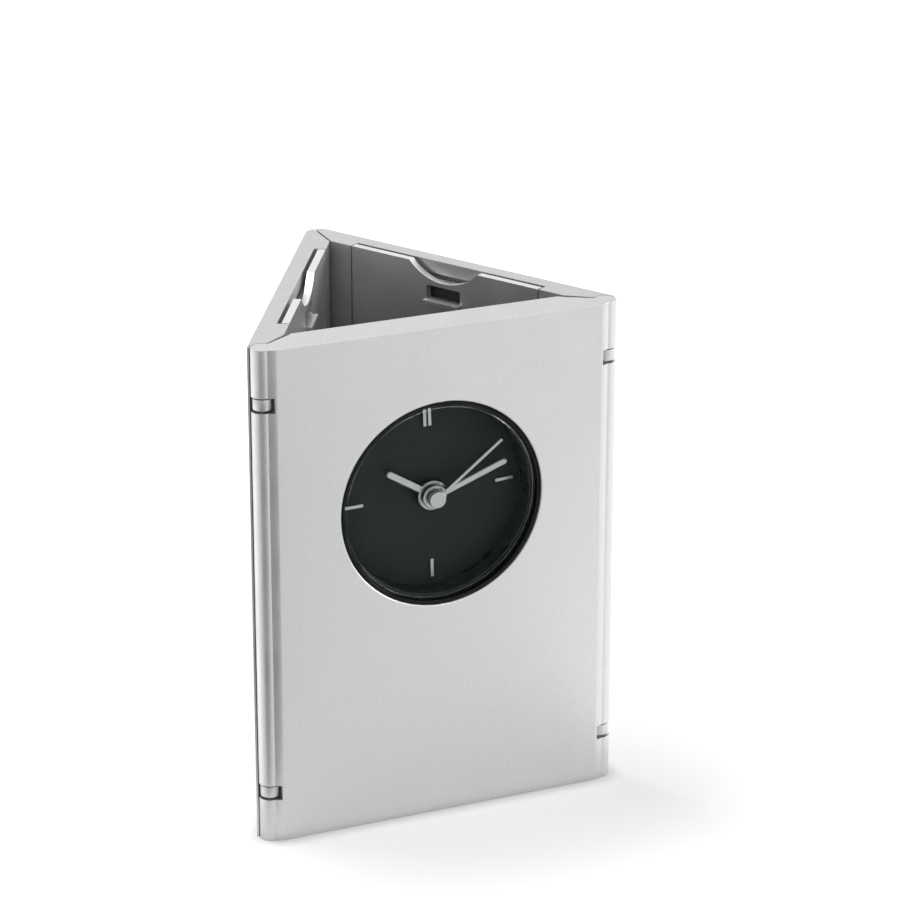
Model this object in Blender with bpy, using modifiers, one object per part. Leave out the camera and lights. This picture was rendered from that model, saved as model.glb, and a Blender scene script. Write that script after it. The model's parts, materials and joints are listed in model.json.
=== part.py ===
"""Folding triangular pen holder with a clock in its front panel.

Three upright panels stand as a closed triangle round a pen well. The front panel carries a quartz
clock; the two side panels are slim picture frames, hinged on the front panel's end beads, that swing
outwards until all three lie in one line. Magnets in the mitred rear edges keep the triangle shut.
Metres, +Z up, the clock face towards -Y, the origin under the middle of the closed triangle.
"""
import math

import bmesh
import bpy

# Panels and hinges
HEIGHT = 0.1000
EDGE_WIDTH = 0.00937
CLOSED_ANGLE = math.radians(60.0)
FRONT_THICKNESS = 0.0077
CLEAR = 0.0003
RUNNING = 0.00015
OVERRUN = 0.0010

# Hinge beads, their notches and the pins
BEAD_RADIUS = 0.00215
BEAD_SETBACK = 0.00055
CREASE_OFFSET = 0.0003
COVE_WIDTH = 0.0017
COVE_SAG = -0.00011
FRONT_BEVEL_ANGLE = math.radians(38.0)
FRONT_BEVEL_SLOPE = math.radians(29.8)
FRONT_BEVEL_EASE = 0.0006
NOTCH_FROM_FOOT = 0.00865
NOTCH_FROM_TOP = 0.0094
NOTCH_HEIGHT = 0.00295
NOTCH_REACH = 0.00155
KNUCKLE_INSET = 0.00022
KNUCKLE_FLAT_GAP = 0.0003
KNUCKLE_GAP_ABOVE = 0.0003
KNUCKLE_GAP_BELOW = 0.0005
KNUCKLE_ARM_REACH = 0.0032
KNUCKLE_ARM_FOOT = 0.00055
PIN_RADIUS = 0.0005
PIN_LENGTH = 0.0120

# Front panel shell and its back cover
FRONT_WALL = 0.0016
END_WALL = 0.0018
CAVITY_MARGIN = 0.0025
COVER_THICKNESS = 0.0015
BOSS_RADIUS = 0.0024
BOSS_FROM_SIDE = 0.0040
BOSS_FROM_END = 0.0065
SCREW_RADIUS = 0.0007
SCREW_LENGTH = 0.0042
SCREW_HEAD_RADIUS = 0.0016
SCREW_HEAD_DEPTH = 0.0007
SCREW_SLOT_WIDTH = 0.0004
SCREW_SLOT_DEPTH = 0.0003

# Side panels
SIDE_WRAP_GAP = 0.00015
SIDE_LIP_WALL = 0.00035
SIDE_LIP = 0.0004
SIDE_BEVEL_ANGLE = math.radians(46.0)
SIDE_BEVEL_SLOPE = math.radians(24.4)
SIDE_BEVEL_EASE = 0.0009
SIDE_BEVEL_RISE = 0.0004
NOSE_RADIUS = 0.0027
MITRE_GAP = 0.0002
TAB_LENGTH = 0.0134
POCKET_FROM_MITRE = 0.00494
SLOT_WIDTH = 0.00085
INNER_COVER_THICKNESS = 0.0015
POCKET_FLOOR = 0.0040
WINDOW_RIM = 0.0026
WINDOW_FRAME_WALL = 0.0019
WINDOW_LAP = 0.0025
WINDOW_LAP_END = 0.0050
SHEET_THICKNESS = 0.0008
CARD_THICKNESS = 0.0003
CARD_MARGIN = 0.0005
CARD_BELOW_TOP = 0.0035
THUMB_WIDTH = 0.0166
THUMB_DEPTH = 0.0035
CATCH_WIDTH = 0.0082
CATCH_HEIGHT = 0.0028
CATCH_BELOW_TOP = 0.00435
LEDGE_REACH = 0.00125
LEDGE_HEIGHT = 0.0008
MAGNET_RADIUS = 0.0018
MAGNET_LENGTH = 0.0016
MAGNET_FROM_NOSE = 0.0050
MAGNET_FROM_END = 0.0200

# Clock opening, case, lens and dial. Depths are behind the front face.
DIAL_BELOW_TOP = 0.0355
OPENING_INSET = 0.0010
CASE_FRONT = 0.0003
CASE_LIP_GAP = 0.00025
CASE_LIP_WALL = 0.0005
CASE_FLANGE_REACH = 0.0008
CASE_FLANGE_THICKNESS = 0.0012
CASE_REAR_WALL = 0.0013
CHAMBER_WALL = 0.0026
LENS_FRONT = 0.00045
LENS_THICKNESS = 0.0012
LENS_BEVEL = 0.0001
CLAMP_WIDTH = 0.0011
DIAL_THICKNESS = 0.0004
DIAL_BORE = 0.0022
DIAL_TWIST = math.radians(-1.8)
MARK_FROM_EDGE = 0.00313
MARK_LENGTH = 0.0037
MARK_WIDTH = 0.00065
MARK_PITCH = 0.0010
MARK_THICKNESS = 0.0002
MARK_SEAT = 0.0001

# Hands, at the time shown: ten past ten
HOUR_ANGLE = math.radians(302.0)
HOUR_LENGTH = 0.0111
HOUR_WIDTH = 0.00135
HOUR_HUB_RADIUS = 0.0030
HOUR_TO_DIAL = 0.0016
MINUTE_ANGLE = math.radians(70.0)
MINUTE_FROM_WALL = 0.00315
MINUTE_WIDTH = 0.00120
MINUTE_HUB_RADIUS = 0.0024
MINUTE_TO_HOUR = 0.0007
SECOND_ANGLE = math.radians(52.5)
SECOND_FROM_WALL = 0.0021
SECOND_WIDTH = 0.0006
NEEDLE_SETBACK = 0.0004
HAND_THICKNESS = 0.0004
CAP_RADIUS = 0.0017
CAP_GAP = 0.00035
CAP_HEIGHT = 0.0010
CAP_TO_MINUTE = 0.0004
NEEDLE_HEIGHT_SHARE = 0.25
HAND_TIP_EASE_SHARE = 0.30

# Arbors and pipes on the dial's axis
ARBOR_RADIUS = 0.00045
PIPE_WALL = 0.0004
PIPE_GAP = 0.00025
PIPE_PROUD = 0.0002

# Movement: plates, levels and gear train
PLATE_THICKNESS = 0.0008
HOUSING_WALL = 0.0010
HOUSING_PROUD = 0.0011
LEVEL_FACE = 0.0005
LEVELS = 6
TEETH_ROTOR = 8
TEETH_INTERMEDIATE = 48
TEETH_INTERMEDIATE_PINION = 8
TEETH_SECOND = 40
TEETH_SECOND_PINION = 8
TEETH_THIRD = 60
TEETH_THIRD_PINION = 8
TEETH_CENTRE = 64
TEETH_CANNON = 12
TEETH_MINUTE = 36
TEETH_MINUTE_PINION = 10
TEETH_HOUR = 40
THIRD_DISTANCE = 0.0069
INTERMEDIATE_FURTHER = 0.0003
MINUTE_FURTHER = 0.0001
ROTOR_DISTANCE = 0.0056
THIRD_BEARING = math.radians(315.0)
INTERMEDIATE_BEARING = math.radians(45.0)
ROTOR_BEARING = math.radians(90.0)
MINUTE_BEARING = math.radians(225.0)
ADDENDUM_SHARE = 0.5
DEDENDUM_SHARE = 1.0
TIP_WIDTH_SHARE = 0.16
MAGNET_DISC_RADIUS = 0.0024
MAGNET_DISC_DEPTH = 0.0020
STATOR_MARGIN = 0.0012
STATOR_THICKNESS = 0.0008
STATOR_TAIL = 0.0014
COIL_RADIUS = 0.0020
COIL_FLANGE = 0.0004
COIL_GROOVE = 0.0003
COIL_LENGTH = 0.0070
BOARD_WIDTH = 0.0075
BOARD_HEIGHT = 0.0115
BOARD_THICKNESS = 0.0007
BOARD_ABOVE_SHARE = 0.25
BOARD_FROM_WALL = 0.0030
CELL_RADIUS = 0.0058
CELL_THICKNESS = 0.00305
CELL_FROM_WHEEL = 0.00027
CELL_BEARING = math.radians(150.0)
CONTACT_THICKNESS = 0.0003
CONTACT_WIDTH = 0.0030
CONTACT_LENGTH = 0.0065
CELL_COVER_THICKNESS = 0.0012
CELL_COVER_GAP = 0.00035
COIN_SLOT_WIDTH = 0.0012
COIN_SLOT_LENGTH_SHARE = 1.3
KNOB_RADIUS = 0.0030
KNOB_THICKNESS = 0.0018
KNOB_RIBS = 18
KNOB_RIB_SHARE = 0.08
KNOB_FLOOR = 0.0006

# Fineness of round shapes
LARGE_STEPS = 48
MEDIUM_STEPS = 24
SMALL_STEPS = 16
BEAD_STEPS = 18
ARC_STEPS = 10
MERGE_DISTANCE = 0.0000001

# Depths worked out from the sizes above, from the front face back
LENS_BACK = LENS_FRONT + LENS_THICKNESS
LENS_SEAT = LENS_BACK + CLEAR
CAP_FRONT = LENS_BACK + CAP_GAP
CAP_END = CAP_FRONT + CAP_HEIGHT
SECOND_DEPTH = CAP_FRONT + NEEDLE_SETBACK
MINUTE_DEPTH = CAP_END + CAP_TO_MINUTE
HOUR_DEPTH = MINUTE_DEPTH + HAND_THICKNESS + MINUTE_TO_HOUR
DIAL_FACE = HOUR_DEPTH + HAND_THICKNESS + HOUR_TO_DIAL
DIAL_BACK = DIAL_FACE + DIAL_THICKNESS
PLATE_FACE = DIAL_BACK + CLEAR
PLATE_BACK = PLATE_FACE + PLATE_THICKNESS
CONTACT_LOW = PLATE_BACK + CLEAR
CELL_LOW = CONTACT_LOW + CONTACT_THICKNESS + CLEAR
CELL_HIGH = CELL_LOW + CELL_THICKNESS
CONTACT_HIGH = CELL_HIGH + CLEAR
CELL_COVER_FACE = CONTACT_HIGH + CONTACT_THICKNESS + CELL_COVER_GAP
HOUSING_END = CELL_COVER_FACE + CELL_COVER_THICKNESS
HOUSING_FRONT = PLATE_BACK + CLEAR
HOUSING_FLOOR = HOUSING_END - HOUSING_WALL
CASE_END = HOUSING_END - HOUSING_PROUD
LEVEL_ONE = PLATE_BACK + CLEAR
LEVEL_PITCH = (HOUSING_FLOOR - CLEAR - LEVEL_FACE - LEVEL_ONE) / (LEVELS - 1)
PIVOT_FRONT = PLATE_FACE + CLEAR
PIVOT_END = HOUSING_END - CLEAR
COVER_FACE = FRONT_THICKNESS - COVER_THICKNESS
CASE_FLANGE_FRONT = FRONT_WALL + CLEAR

# Radii worked out about the clock's axis, from the train outwards
INTERMEDIATE_DISTANCE = THIRD_DISTANCE + INTERMEDIATE_FURTHER
MINUTE_DISTANCE = THIRD_DISTANCE + MINUTE_FURTHER
CENTRE_TIP = (THIRD_DISTANCE / (TEETH_CENTRE + TEETH_THIRD_PINION)) * (TEETH_CENTRE + 2.0 * ADDENDUM_SHARE)
CELL_DISTANCE = CENTRE_TIP + CELL_FROM_WHEEL + CELL_RADIUS
CELL_POCKET_RADIUS = CELL_RADIUS + 2.0 * CLEAR
HOUSING_BORE = CELL_DISTANCE + CELL_POCKET_RADIUS + CLEAR
HOUSING_RADIUS = HOUSING_BORE + HOUSING_WALL
REAR_BORE = HOUSING_RADIUS + CLEAR
CASE_BODY_RADIUS = REAR_BORE + CASE_REAR_WALL
CASE_FLANGE_RADIUS = CASE_BODY_RADIUS + CASE_FLANGE_REACH
CHAMBER_RADIUS = CASE_BODY_RADIUS - CHAMBER_WALL
OPENING_RADIUS = CASE_BODY_RADIUS - OPENING_INSET
CASE_LIP_RADIUS = OPENING_RADIUS - CASE_LIP_GAP
CASE_LIP_BORE = CASE_LIP_RADIUS - CASE_LIP_WALL
DIAL_RADIUS = CHAMBER_RADIUS - CLEAR
MARK_CENTRE_RADIUS = DIAL_RADIUS - MARK_FROM_EDGE
MINUTE_LENGTH = CHAMBER_RADIUS - MINUTE_FROM_WALL
SECOND_LENGTH = CHAMBER_RADIUS - SECOND_FROM_WALL
MINUTE_PIPE_BORE = ARBOR_RADIUS + PIPE_GAP
MINUTE_PIPE_RADIUS = MINUTE_PIPE_BORE + PIPE_WALL
HOUR_PIPE_BORE = MINUTE_PIPE_RADIUS + PIPE_GAP
HOUR_PIPE_RADIUS = HOUR_PIPE_BORE + PIPE_WALL

# Panel sizes worked out round the clock
DIAL_HEIGHT = HEIGHT - DIAL_BELOW_TOP
CAVITY_HALF_WIDTH = CASE_BODY_RADIUS + CLEAR + CLAMP_WIDTH + CAVITY_MARGIN
HALF_SPAN = CAVITY_HALF_WIDTH + EDGE_WIDTH
AXIS_DEPTH = BEAD_RADIUS + BEAD_SETBACK
KNUCKLE_RADIUS = BEAD_RADIUS - KNUCKLE_INSET
KNUCKLE_FLAT = NOTCH_REACH - KNUCKLE_FLAT_GAP
NOTCH_LOWS = (NOTCH_FROM_FOOT, HEIGHT - NOTCH_FROM_TOP - NOTCH_HEIGHT)
SINE = math.sin(CLOSED_ANGLE)
COSINE = math.cos(CLOSED_ANGLE)
SIDE_WRAP_RADIUS = BEAD_RADIUS + SIDE_WRAP_GAP
SIDE_SKIN = SIDE_WRAP_RADIUS + SIDE_LIP_WALL
SLOT_DEPTH = WINDOW_FRAME_WALL + CLEAR + SHEET_THICKNESS + CLEAR
SLOT_END = SLOT_DEPTH + SLOT_WIDTH
SIDE_THICKNESS = SLOT_END + INNER_COVER_THICKNESS
SIDE_INNER = SIDE_SKIN - SIDE_THICKNESS
MITRE_END = (HALF_SPAN - MITRE_GAP + SIDE_INNER * SINE) / COSINE
POCKET_END = MITRE_END - POCKET_FROM_MITRE
POCKET_MIDDLE = (TAB_LENGTH + POCKET_END) / 2.0
NOSE_CENTRE = AXIS_DEPTH + (HALF_SPAN * SINE + SIDE_SKIN - NOSE_RADIUS) / COSINE
NOSE_FAR = NOSE_CENTRE + math.sqrt(NOSE_RADIUS ** 2 - MITRE_GAP ** 2)
FRONT_Y = -NOSE_FAR / 2.0
AXIS_Y = FRONT_Y + AXIS_DEPTH

parts = None
cutters = None


def clear_scene():
    """Empty the file and make the two collections."""
    global parts, cutters
    for old in list(bpy.data.objects):
        bpy.data.objects.remove(old, do_unlink=True)
    parts = bpy.data.collections.new("pen_holder_clock")
    cutters = bpy.data.collections.new("cutters")
    for group in (parts, cutters):
        bpy.context.scene.collection.children.link(group)


def material(name, colour, roughness, metallic=0.0, alpha=1.0):
    """One Principled material."""
    made = bpy.data.materials.new(name)
    made.use_nodes = True
    shader = made.node_tree.nodes["Principled BSDF"]
    shader.inputs["Base Color"].default_value = (*colour, 1.0)
    shader.inputs["Roughness"].default_value = roughness
    shader.inputs["Metallic"].default_value = metallic
    shader.inputs["Alpha"].default_value = alpha
    made.diffuse_color = (*colour, alpha)
    return made


def finish_object(thing, look):
    """File an object under the parts, or under the cutters where it has no material."""
    if look is None:
        cutters.objects.link(thing)
        thing.hide_render = True
        thing.display_type = "WIRE"
    else:
        parts.objects.link(thing)
        thing.data.materials.append(look)
    return thing


def mesh_object(name, shape, look):
    """An object from a bmesh, with round sides shaded smooth."""
    bmesh.ops.recalc_face_normals(shape, faces=shape.faces)
    mesh = bpy.data.meshes.new(name)
    shape.to_mesh(mesh)
    shape.free()
    mesh.shade_smooth()
    mesh.set_sharp_from_angle(angle=math.radians(35.0))
    return finish_object(bpy.data.objects.new(name, mesh), look)


def empty(name, location, rotation):
    """A frame that pieces are parented to."""
    frame = bpy.data.objects.new(name, None)
    frame.location = location
    frame.rotation_euler = rotation
    parts.objects.link(frame)
    return frame


def prism(name, outlines, low, high, look=None, parent=None, location=(0.0, 0.0, 0.0)):
    """A flat outline, with holes where more outlines follow, extruded from low to high along Z."""
    curve = bpy.data.curves.new(name, "CURVE")
    curve.dimensions = "2D"
    curve.fill_mode = "BOTH"
    curve.extrude = (high - low) / 2.0
    for outline in outlines:
        spline = curve.splines.new("POLY")
        spline.points.add(len(outline) - 1)
        for point, (x, y) in zip(spline.points, outline):
            point.co = (x, y, 0.0, 1.0)
        spline.use_cyclic_u = True
    drawn = bpy.data.objects.new(name + "_outline", curve)
    bpy.context.scene.collection.objects.link(drawn)
    flat = bpy.data.meshes.new_from_object(drawn.evaluated_get(bpy.context.evaluated_depsgraph_get()))
    bpy.data.objects.remove(drawn, do_unlink=True)
    shape = bmesh.new()
    shape.from_mesh(flat)
    bpy.data.meshes.remove(flat)
    bmesh.ops.remove_doubles(shape, verts=shape.verts, dist=MERGE_DISTANCE)
    bmesh.ops.translate(shape, verts=shape.verts, vec=(0.0, 0.0, (high + low) / 2.0))
    thing = mesh_object(name, shape, look)
    thing.parent = parent
    thing.location = location
    return thing


def block(name, low, high, look=None, parent=None):
    """A box between two corners."""
    shape = bmesh.new()
    bmesh.ops.create_cube(shape, size=1.0)
    bmesh.ops.scale(shape, verts=shape.verts, vec=[b - a for a, b in zip(low, high)])
    bmesh.ops.translate(shape, verts=shape.verts, vec=[(a + b) / 2.0 for a, b in zip(low, high)])
    thing = mesh_object(name, shape, look)
    thing.parent = parent
    return thing


def rod(name, radius, low, high, look=None, parent=None, location=(0.0, 0.0, 0.0), steps=SMALL_STEPS):
    """A cylinder along Z between two heights, or along its parent's Z."""
    shape = bmesh.new()
    bmesh.ops.create_cone(shape, cap_ends=True, segments=steps, radius1=radius, radius2=radius,
                          depth=high - low)
    bmesh.ops.translate(shape, verts=shape.verts, vec=(0.0, 0.0, (high + low) / 2.0))
    thing = mesh_object(name, shape, look)
    thing.parent = parent
    thing.location = location
    return thing


def turned(name, profile, look=None, parent=None, location=(0.0, 0.0, 0.0), steps=LARGE_STEPS):
    """A profile of (radius, height) points turned about Z with a Screw modifier.

    A profile that leaves the axis makes a closed ring; one that starts and ends on it makes a solid.
    """
    following = profile[1:] + profile[:1]
    area = sum(r0 * z1 - r1 * z0 for (r0, z0), (r1, z1) in zip(profile, following))
    if area > 0.0:
        profile = profile[::-1]
    solid = profile[0][0] == 0.0 and profile[-1][0] == 0.0
    shape = bmesh.new()
    corners = [shape.verts.new((r, 0.0, z)) for r, z in profile]
    for first, second in zip(corners, corners[1:]):
        shape.edges.new((first, second))
    if not solid:
        shape.edges.new((corners[-1], corners[0]))
    mesh = bpy.data.meshes.new(name)
    shape.to_mesh(mesh)
    shape.free()
    thing = finish_object(bpy.data.objects.new(name, mesh), look)
    screw = thing.modifiers.new("turn", "SCREW")
    screw.steps = steps
    screw.render_steps = steps
    screw.use_merge_vertices = True
    screw.merge_threshold = MERGE_DISTANCE
    screw.use_smooth_shade = True
    thing.parent = parent
    thing.location = location
    return thing


def combine(thing, others, operation):
    """Cut with, or join on, each of the other shapes in turn."""
    for number, other in enumerate(others):
        step = thing.modifiers.new(f"{operation.lower()}_{number}", "BOOLEAN")
        step.operation = operation
        step.solver = "EXACT"
        step.object = other
    return thing


def cut(thing, *others):
    """Take the other shapes away."""
    return combine(thing, others, "DIFFERENCE")


def join(thing, *others):
    """Fuse the other shapes on."""
    return combine(thing, others, "UNION")


def arc(centre, radius, start, stop, steps):
    """Points along a circle from one angle to another, both ends included."""
    return [(centre[0] + radius * math.cos(start + (stop - start) * k / steps),
             centre[1] + radius * math.sin(start + (stop - start) * k / steps)) for k in range(steps + 1)]


def circle(radius, steps, centre=(0.0, 0.0)):
    """A closed round outline."""
    return arc(centre, radius, 0.0, math.tau * (steps - 1) / steps, steps - 1)


def rectangle(low_x, high_x, low_y, high_y):
    """A closed rectangular outline."""
    return [(low_x, low_y), (high_x, low_y), (high_x, high_y), (low_x, high_y)]


def bearing(angle, radius):
    """A place on the clock's frame, at a clockwise angle from the top; its Y points down."""
    return (radius * math.sin(angle), -radius * math.cos(angle))


# Front panel

def front_outline():
    """The front panel in plan: flat face, cove, round bead, bevel and inner face, on both ends."""
    crease = math.acos(CREASE_OFFSET / BEAD_RADIUS)
    crease_depth = -BEAD_RADIUS * math.sin(crease)
    cove_end = CREASE_OFFSET + COVE_WIDTH
    middle = (CREASE_OFFSET + cove_end) / 2.0
    half = [(cove_end, -AXIS_DEPTH), (middle, (crease_depth - AXIS_DEPTH) / 2.0 + COVE_SAG)]
    half += arc((0.0, 0.0), BEAD_RADIUS, -crease, FRONT_BEVEL_ANGLE - math.tau, BEAD_STEPS)
    inner = FRONT_THICKNESS - AXIS_DEPTH
    start_x, start_y = half[-1]
    run = start_x + (inner - FRONT_BEVEL_EASE - start_y) / math.tan(FRONT_BEVEL_SLOPE)
    half += [(run, inner - FRONT_BEVEL_EASE), (run + FRONT_BEVEL_EASE, inner)]
    left = [(-HALF_SPAN + u, AXIS_Y + v) for u, v in half]
    return left + [(-x, y) for x, y in reversed(left)]


def notch_outline(side):
    """A hinge notch in plan: the bead cut through, hollowed round the knuckle's sweep."""
    sweep = KNUCKLE_RADIUS + CLEAR
    opening = math.acos(NOTCH_REACH / sweep)
    far = BEAD_RADIUS + OVERRUN
    front = -AXIS_DEPTH - OVERRUN
    shape = [(-far, front), (NOTCH_REACH, front)] + arc((0.0, 0.0), sweep, -opening, opening, ARC_STEPS)
    shape += [(NOTCH_REACH, far), (-far, far)]
    return [(side * (u - HALF_SPAN), AXIS_Y + v) for u, v in shape]


def boss_places():
    """The four screw places in the front panel, as x and height."""
    across = CAVITY_HALF_WIDTH - BOSS_FROM_SIDE
    return [(x, z) for z in (BOSS_FROM_END + END_WALL, HEIGHT - BOSS_FROM_END - END_WALL)
            for x in (-across, across)]


def make_front_panel(looks, face):
    """Front shell, back cover, hinge pins and cover screws."""
    shell = prism("front_shell", [front_outline()], 0.0, HEIGHT, looks["silver"])
    cavity = block("cavity_cutter", (-CAVITY_HALF_WIDTH, -HEIGHT + END_WALL, FRONT_WALL),
                   (CAVITY_HALF_WIDTH, -END_WALL, FRONT_THICKNESS + OVERRUN), parent=face)
    opening = rod("opening_cutter", OPENING_RADIUS, -OVERRUN, FRONT_WALL + OVERRUN, parent=face,
                  location=(0.0, -DIAL_HEIGHT, 0.0), steps=LARGE_STEPS)
    cut(shell, cavity, opening)
    for side, word in ((1, "left"), (-1, "right")):
        for low, place in zip(NOTCH_LOWS, ("lower", "upper")):
            notch = prism(f"{word}_{place}_notch_cutter", [notch_outline(side)], low, low + NOTCH_HEIGHT)
            middle = low + NOTCH_HEIGHT / 2.0
            pin_low = middle - PIN_LENGTH / 2.0
            pin_high = middle + PIN_LENGTH / 2.0
            axis = (-side * HALF_SPAN, AXIS_Y, 0.0)
            bore = rod(f"{word}_{place}_bore_cutter", PIN_RADIUS + RUNNING, pin_low - CLEAR,
                       pin_high + CLEAR, location=axis)
            cut(shell, notch, bore)
            rod(f"{word}_{place}_hinge_pin", PIN_RADIUS, pin_low, pin_high, looks["steel"],
                location=axis)
    margin = CAVITY_HALF_WIDTH - CLEAR
    hole_radius = CASE_BODY_RADIUS + CLEAR
    cover = prism("front_back_cover",
                  [rectangle(-margin, margin, -HEIGHT + END_WALL + CLEAR, -END_WALL - CLEAR),
                   circle(hole_radius, LARGE_STEPS, (0.0, -DIAL_HEIGHT))],
                  COVER_FACE, FRONT_THICKNESS, looks["silver"], face)
    screw_bore = SCREW_RADIUS + CLEAR
    for number, (x, z) in enumerate(boss_places(), 1):
        place = (x, -z, 0.0)
        boss = rod(f"boss_{number}", BOSS_RADIUS, FRONT_WALL / 2.0, COVER_FACE - CLEAR, parent=face,
                   location=place)
        head_seat = FRONT_THICKNESS - SCREW_HEAD_DEPTH - CLEAR
        shaft = rod(f"screw_bore_cutter_{number}", screw_bore, head_seat - CLEAR - SCREW_LENGTH,
                    FRONT_THICKNESS + OVERRUN, parent=face, location=place)
        head = rod(f"screw_head_cutter_{number}", SCREW_HEAD_RADIUS + CLEAR, head_seat - CLEAR,
                   FRONT_THICKNESS + OVERRUN, parent=face, location=place)
        join(shell, boss)
        cut(shell, shaft)
        cut(cover, shaft, head)
        screw = turned(f"cover_screw_{number}",
                       [(0.0, head_seat - SCREW_LENGTH), (SCREW_RADIUS, head_seat - SCREW_LENGTH),
                        (SCREW_RADIUS, head_seat), (SCREW_HEAD_RADIUS, head_seat),
                        (SCREW_HEAD_RADIUS, head_seat + SCREW_HEAD_DEPTH),
                        (0.0, head_seat + SCREW_HEAD_DEPTH)],
                       looks["steel"], face, place, SMALL_STEPS)
        half_slot = SCREW_SLOT_WIDTH / 2.0
        slot_long = SCREW_HEAD_RADIUS + OVERRUN
        slot_floor = head_seat + SCREW_HEAD_DEPTH - SCREW_SLOT_DEPTH
        slot = block(f"screw_slot_cutter_{number}", (x - slot_long, -z - half_slot, slot_floor),
                     (x + slot_long, -z + half_slot, FRONT_THICKNESS + OVERRUN), parent=face)
        cut(screw, slot)


# Side panels

def side_outline(side):
    """A side panel in plan, along X from its hinge axis: lip, outer face, nose, mitre, inner face."""
    nose_y = SIDE_SKIN - NOSE_RADIUS
    nose_x = (HALF_SPAN + nose_y * SINE) / COSINE
    nose_end = math.pi / 2.0 + math.asin(MITRE_GAP / NOSE_RADIUS) - CLOSED_ANGLE
    wrap_start = SIDE_BEVEL_ANGLE - CLOSED_ANGLE
    wrap_x = SIDE_WRAP_RADIUS * math.cos(wrap_start)
    wrap_y = SIDE_WRAP_RADIUS * math.sin(wrap_start)
    bevel_end = SIDE_INNER + SIDE_BEVEL_RISE
    run = wrap_x + (wrap_y - bevel_end) / math.tan(SIDE_BEVEL_SLOPE)
    wrap_end = math.acos(-SIDE_LIP / SIDE_WRAP_RADIUS)
    shape = [(-SIDE_LIP, SIDE_SKIN)]
    shape += arc((nose_x, nose_y), NOSE_RADIUS, math.pi / 2.0, nose_end, ARC_STEPS)
    shape += [(MITRE_END, SIDE_INNER), (run + SIDE_BEVEL_EASE, SIDE_INNER), (run, bevel_end)]
    shape += arc((0.0, 0.0), SIDE_WRAP_RADIUS, wrap_start, wrap_end, ARC_STEPS)
    return [(side * x, y) for x, y in shape]


def knuckle_outline(side):
    """A knuckle in plan: round about the axis, flat where it clears the front panel, with its arm."""
    half_flat = math.acos(KNUCKLE_FLAT / KNUCKLE_RADIUS)
    foot_x = (KNUCKLE_FLAT - KNUCKLE_ARM_FOOT * SINE) / COSINE
    shape = [(KNUCKLE_ARM_REACH, -KNUCKLE_ARM_FOOT), (foot_x, -KNUCKLE_ARM_FOOT)]
    shape += arc((0.0, 0.0), KNUCKLE_RADIUS, -CLOSED_ANGLE - half_flat, -1.5 * math.pi, 2 * ARC_STEPS)
    shape += [(KNUCKLE_ARM_REACH, KNUCKLE_RADIUS)]
    return [(side * x, y) for x, y in shape]


def side_box(name, hinge, side, along, depth, height, look=None):
    """A box on a side panel from ranges along it, into it from its outer face, and up it."""
    xs = sorted((side * along[0], side * along[1]))
    return block(name, (xs[0], SIDE_SKIN - depth[1], height[0]), (xs[1], SIDE_SKIN - depth[0], height[1]),
                 look, hinge)


def make_side_panel(looks, side, word):
    """Frame, window sheet, picture card, inner cover and catch magnets of one side panel."""
    hinge = empty(f"{word}_hinge", (-side * HALF_SPAN, AXIS_Y, 0.0), (0.0, 0.0, side * CLOSED_ANGLE))
    frame = prism(f"{word}_frame", [side_outline(side)], 0.0, HEIGHT, looks["silver"], hinge)
    past = SIDE_THICKNESS + OVERRUN
    top = HEIGHT + OVERRUN
    pocket = side_box(f"{word}_pocket_cutter", hinge, side, (TAB_LENGTH, POCKET_END), (SLOT_DEPTH, past),
                      (POCKET_FLOOR, top))
    seat_along = (TAB_LENGTH + WINDOW_RIM, POCKET_END - WINDOW_RIM)
    seat_height = (POCKET_FLOOR + WINDOW_RIM, HEIGHT - WINDOW_RIM)
    seat = side_box(f"{word}_window_seat_cutter", hinge, side, seat_along, (WINDOW_FRAME_WALL, past),
                    seat_height)
    aperture = side_box(f"{word}_aperture_cutter", hinge, side,
                        (seat_along[0] + WINDOW_LAP, seat_along[1] - WINDOW_LAP), (-OVERRUN, past),
                        (seat_height[0] + WINDOW_LAP_END, seat_height[1] - WINDOW_LAP_END))
    cut(frame, pocket, seat, aperture)
    for low, place in zip(NOTCH_LOWS, ("lower", "upper")):
        knuckle = prism(f"{word}_{place}_knuckle", [knuckle_outline(side)], low + KNUCKLE_GAP_BELOW,
                        low + NOTCH_HEIGHT - KNUCKLE_GAP_ABOVE, parent=hinge)
        bore = rod(f"{word}_{place}_knuckle_bore_cutter", PIN_RADIUS + RUNNING, low - OVERRUN,
                   low + NOTCH_HEIGHT + OVERRUN, parent=hinge)
        join(frame, knuckle)
        cut(frame, bore)

    sheet_face = WINDOW_FRAME_WALL + CLEAR
    side_box(f"{word}_window_sheet", hinge, side, (seat_along[0] + CLEAR, seat_along[1] - CLEAR),
             (sheet_face, sheet_face + SHEET_THICKNESS), (seat_height[0] + CLEAR, seat_height[1] - CLEAR),
             looks["clear"])
    card_face = SLOT_DEPTH + (SLOT_WIDTH - CARD_THICKNESS) / 2.0
    side_box(f"{word}_picture_card", hinge, side, (TAB_LENGTH + CARD_MARGIN, POCKET_END - CARD_MARGIN),
             (card_face, card_face + CARD_THICKNESS), (POCKET_FLOOR + CLEAR, HEIGHT - CARD_BELOW_TOP),
             looks["card"])
    make_inner_cover(looks, hinge, side, word)
    make_magnets(looks, hinge, frame, side, word)


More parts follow.
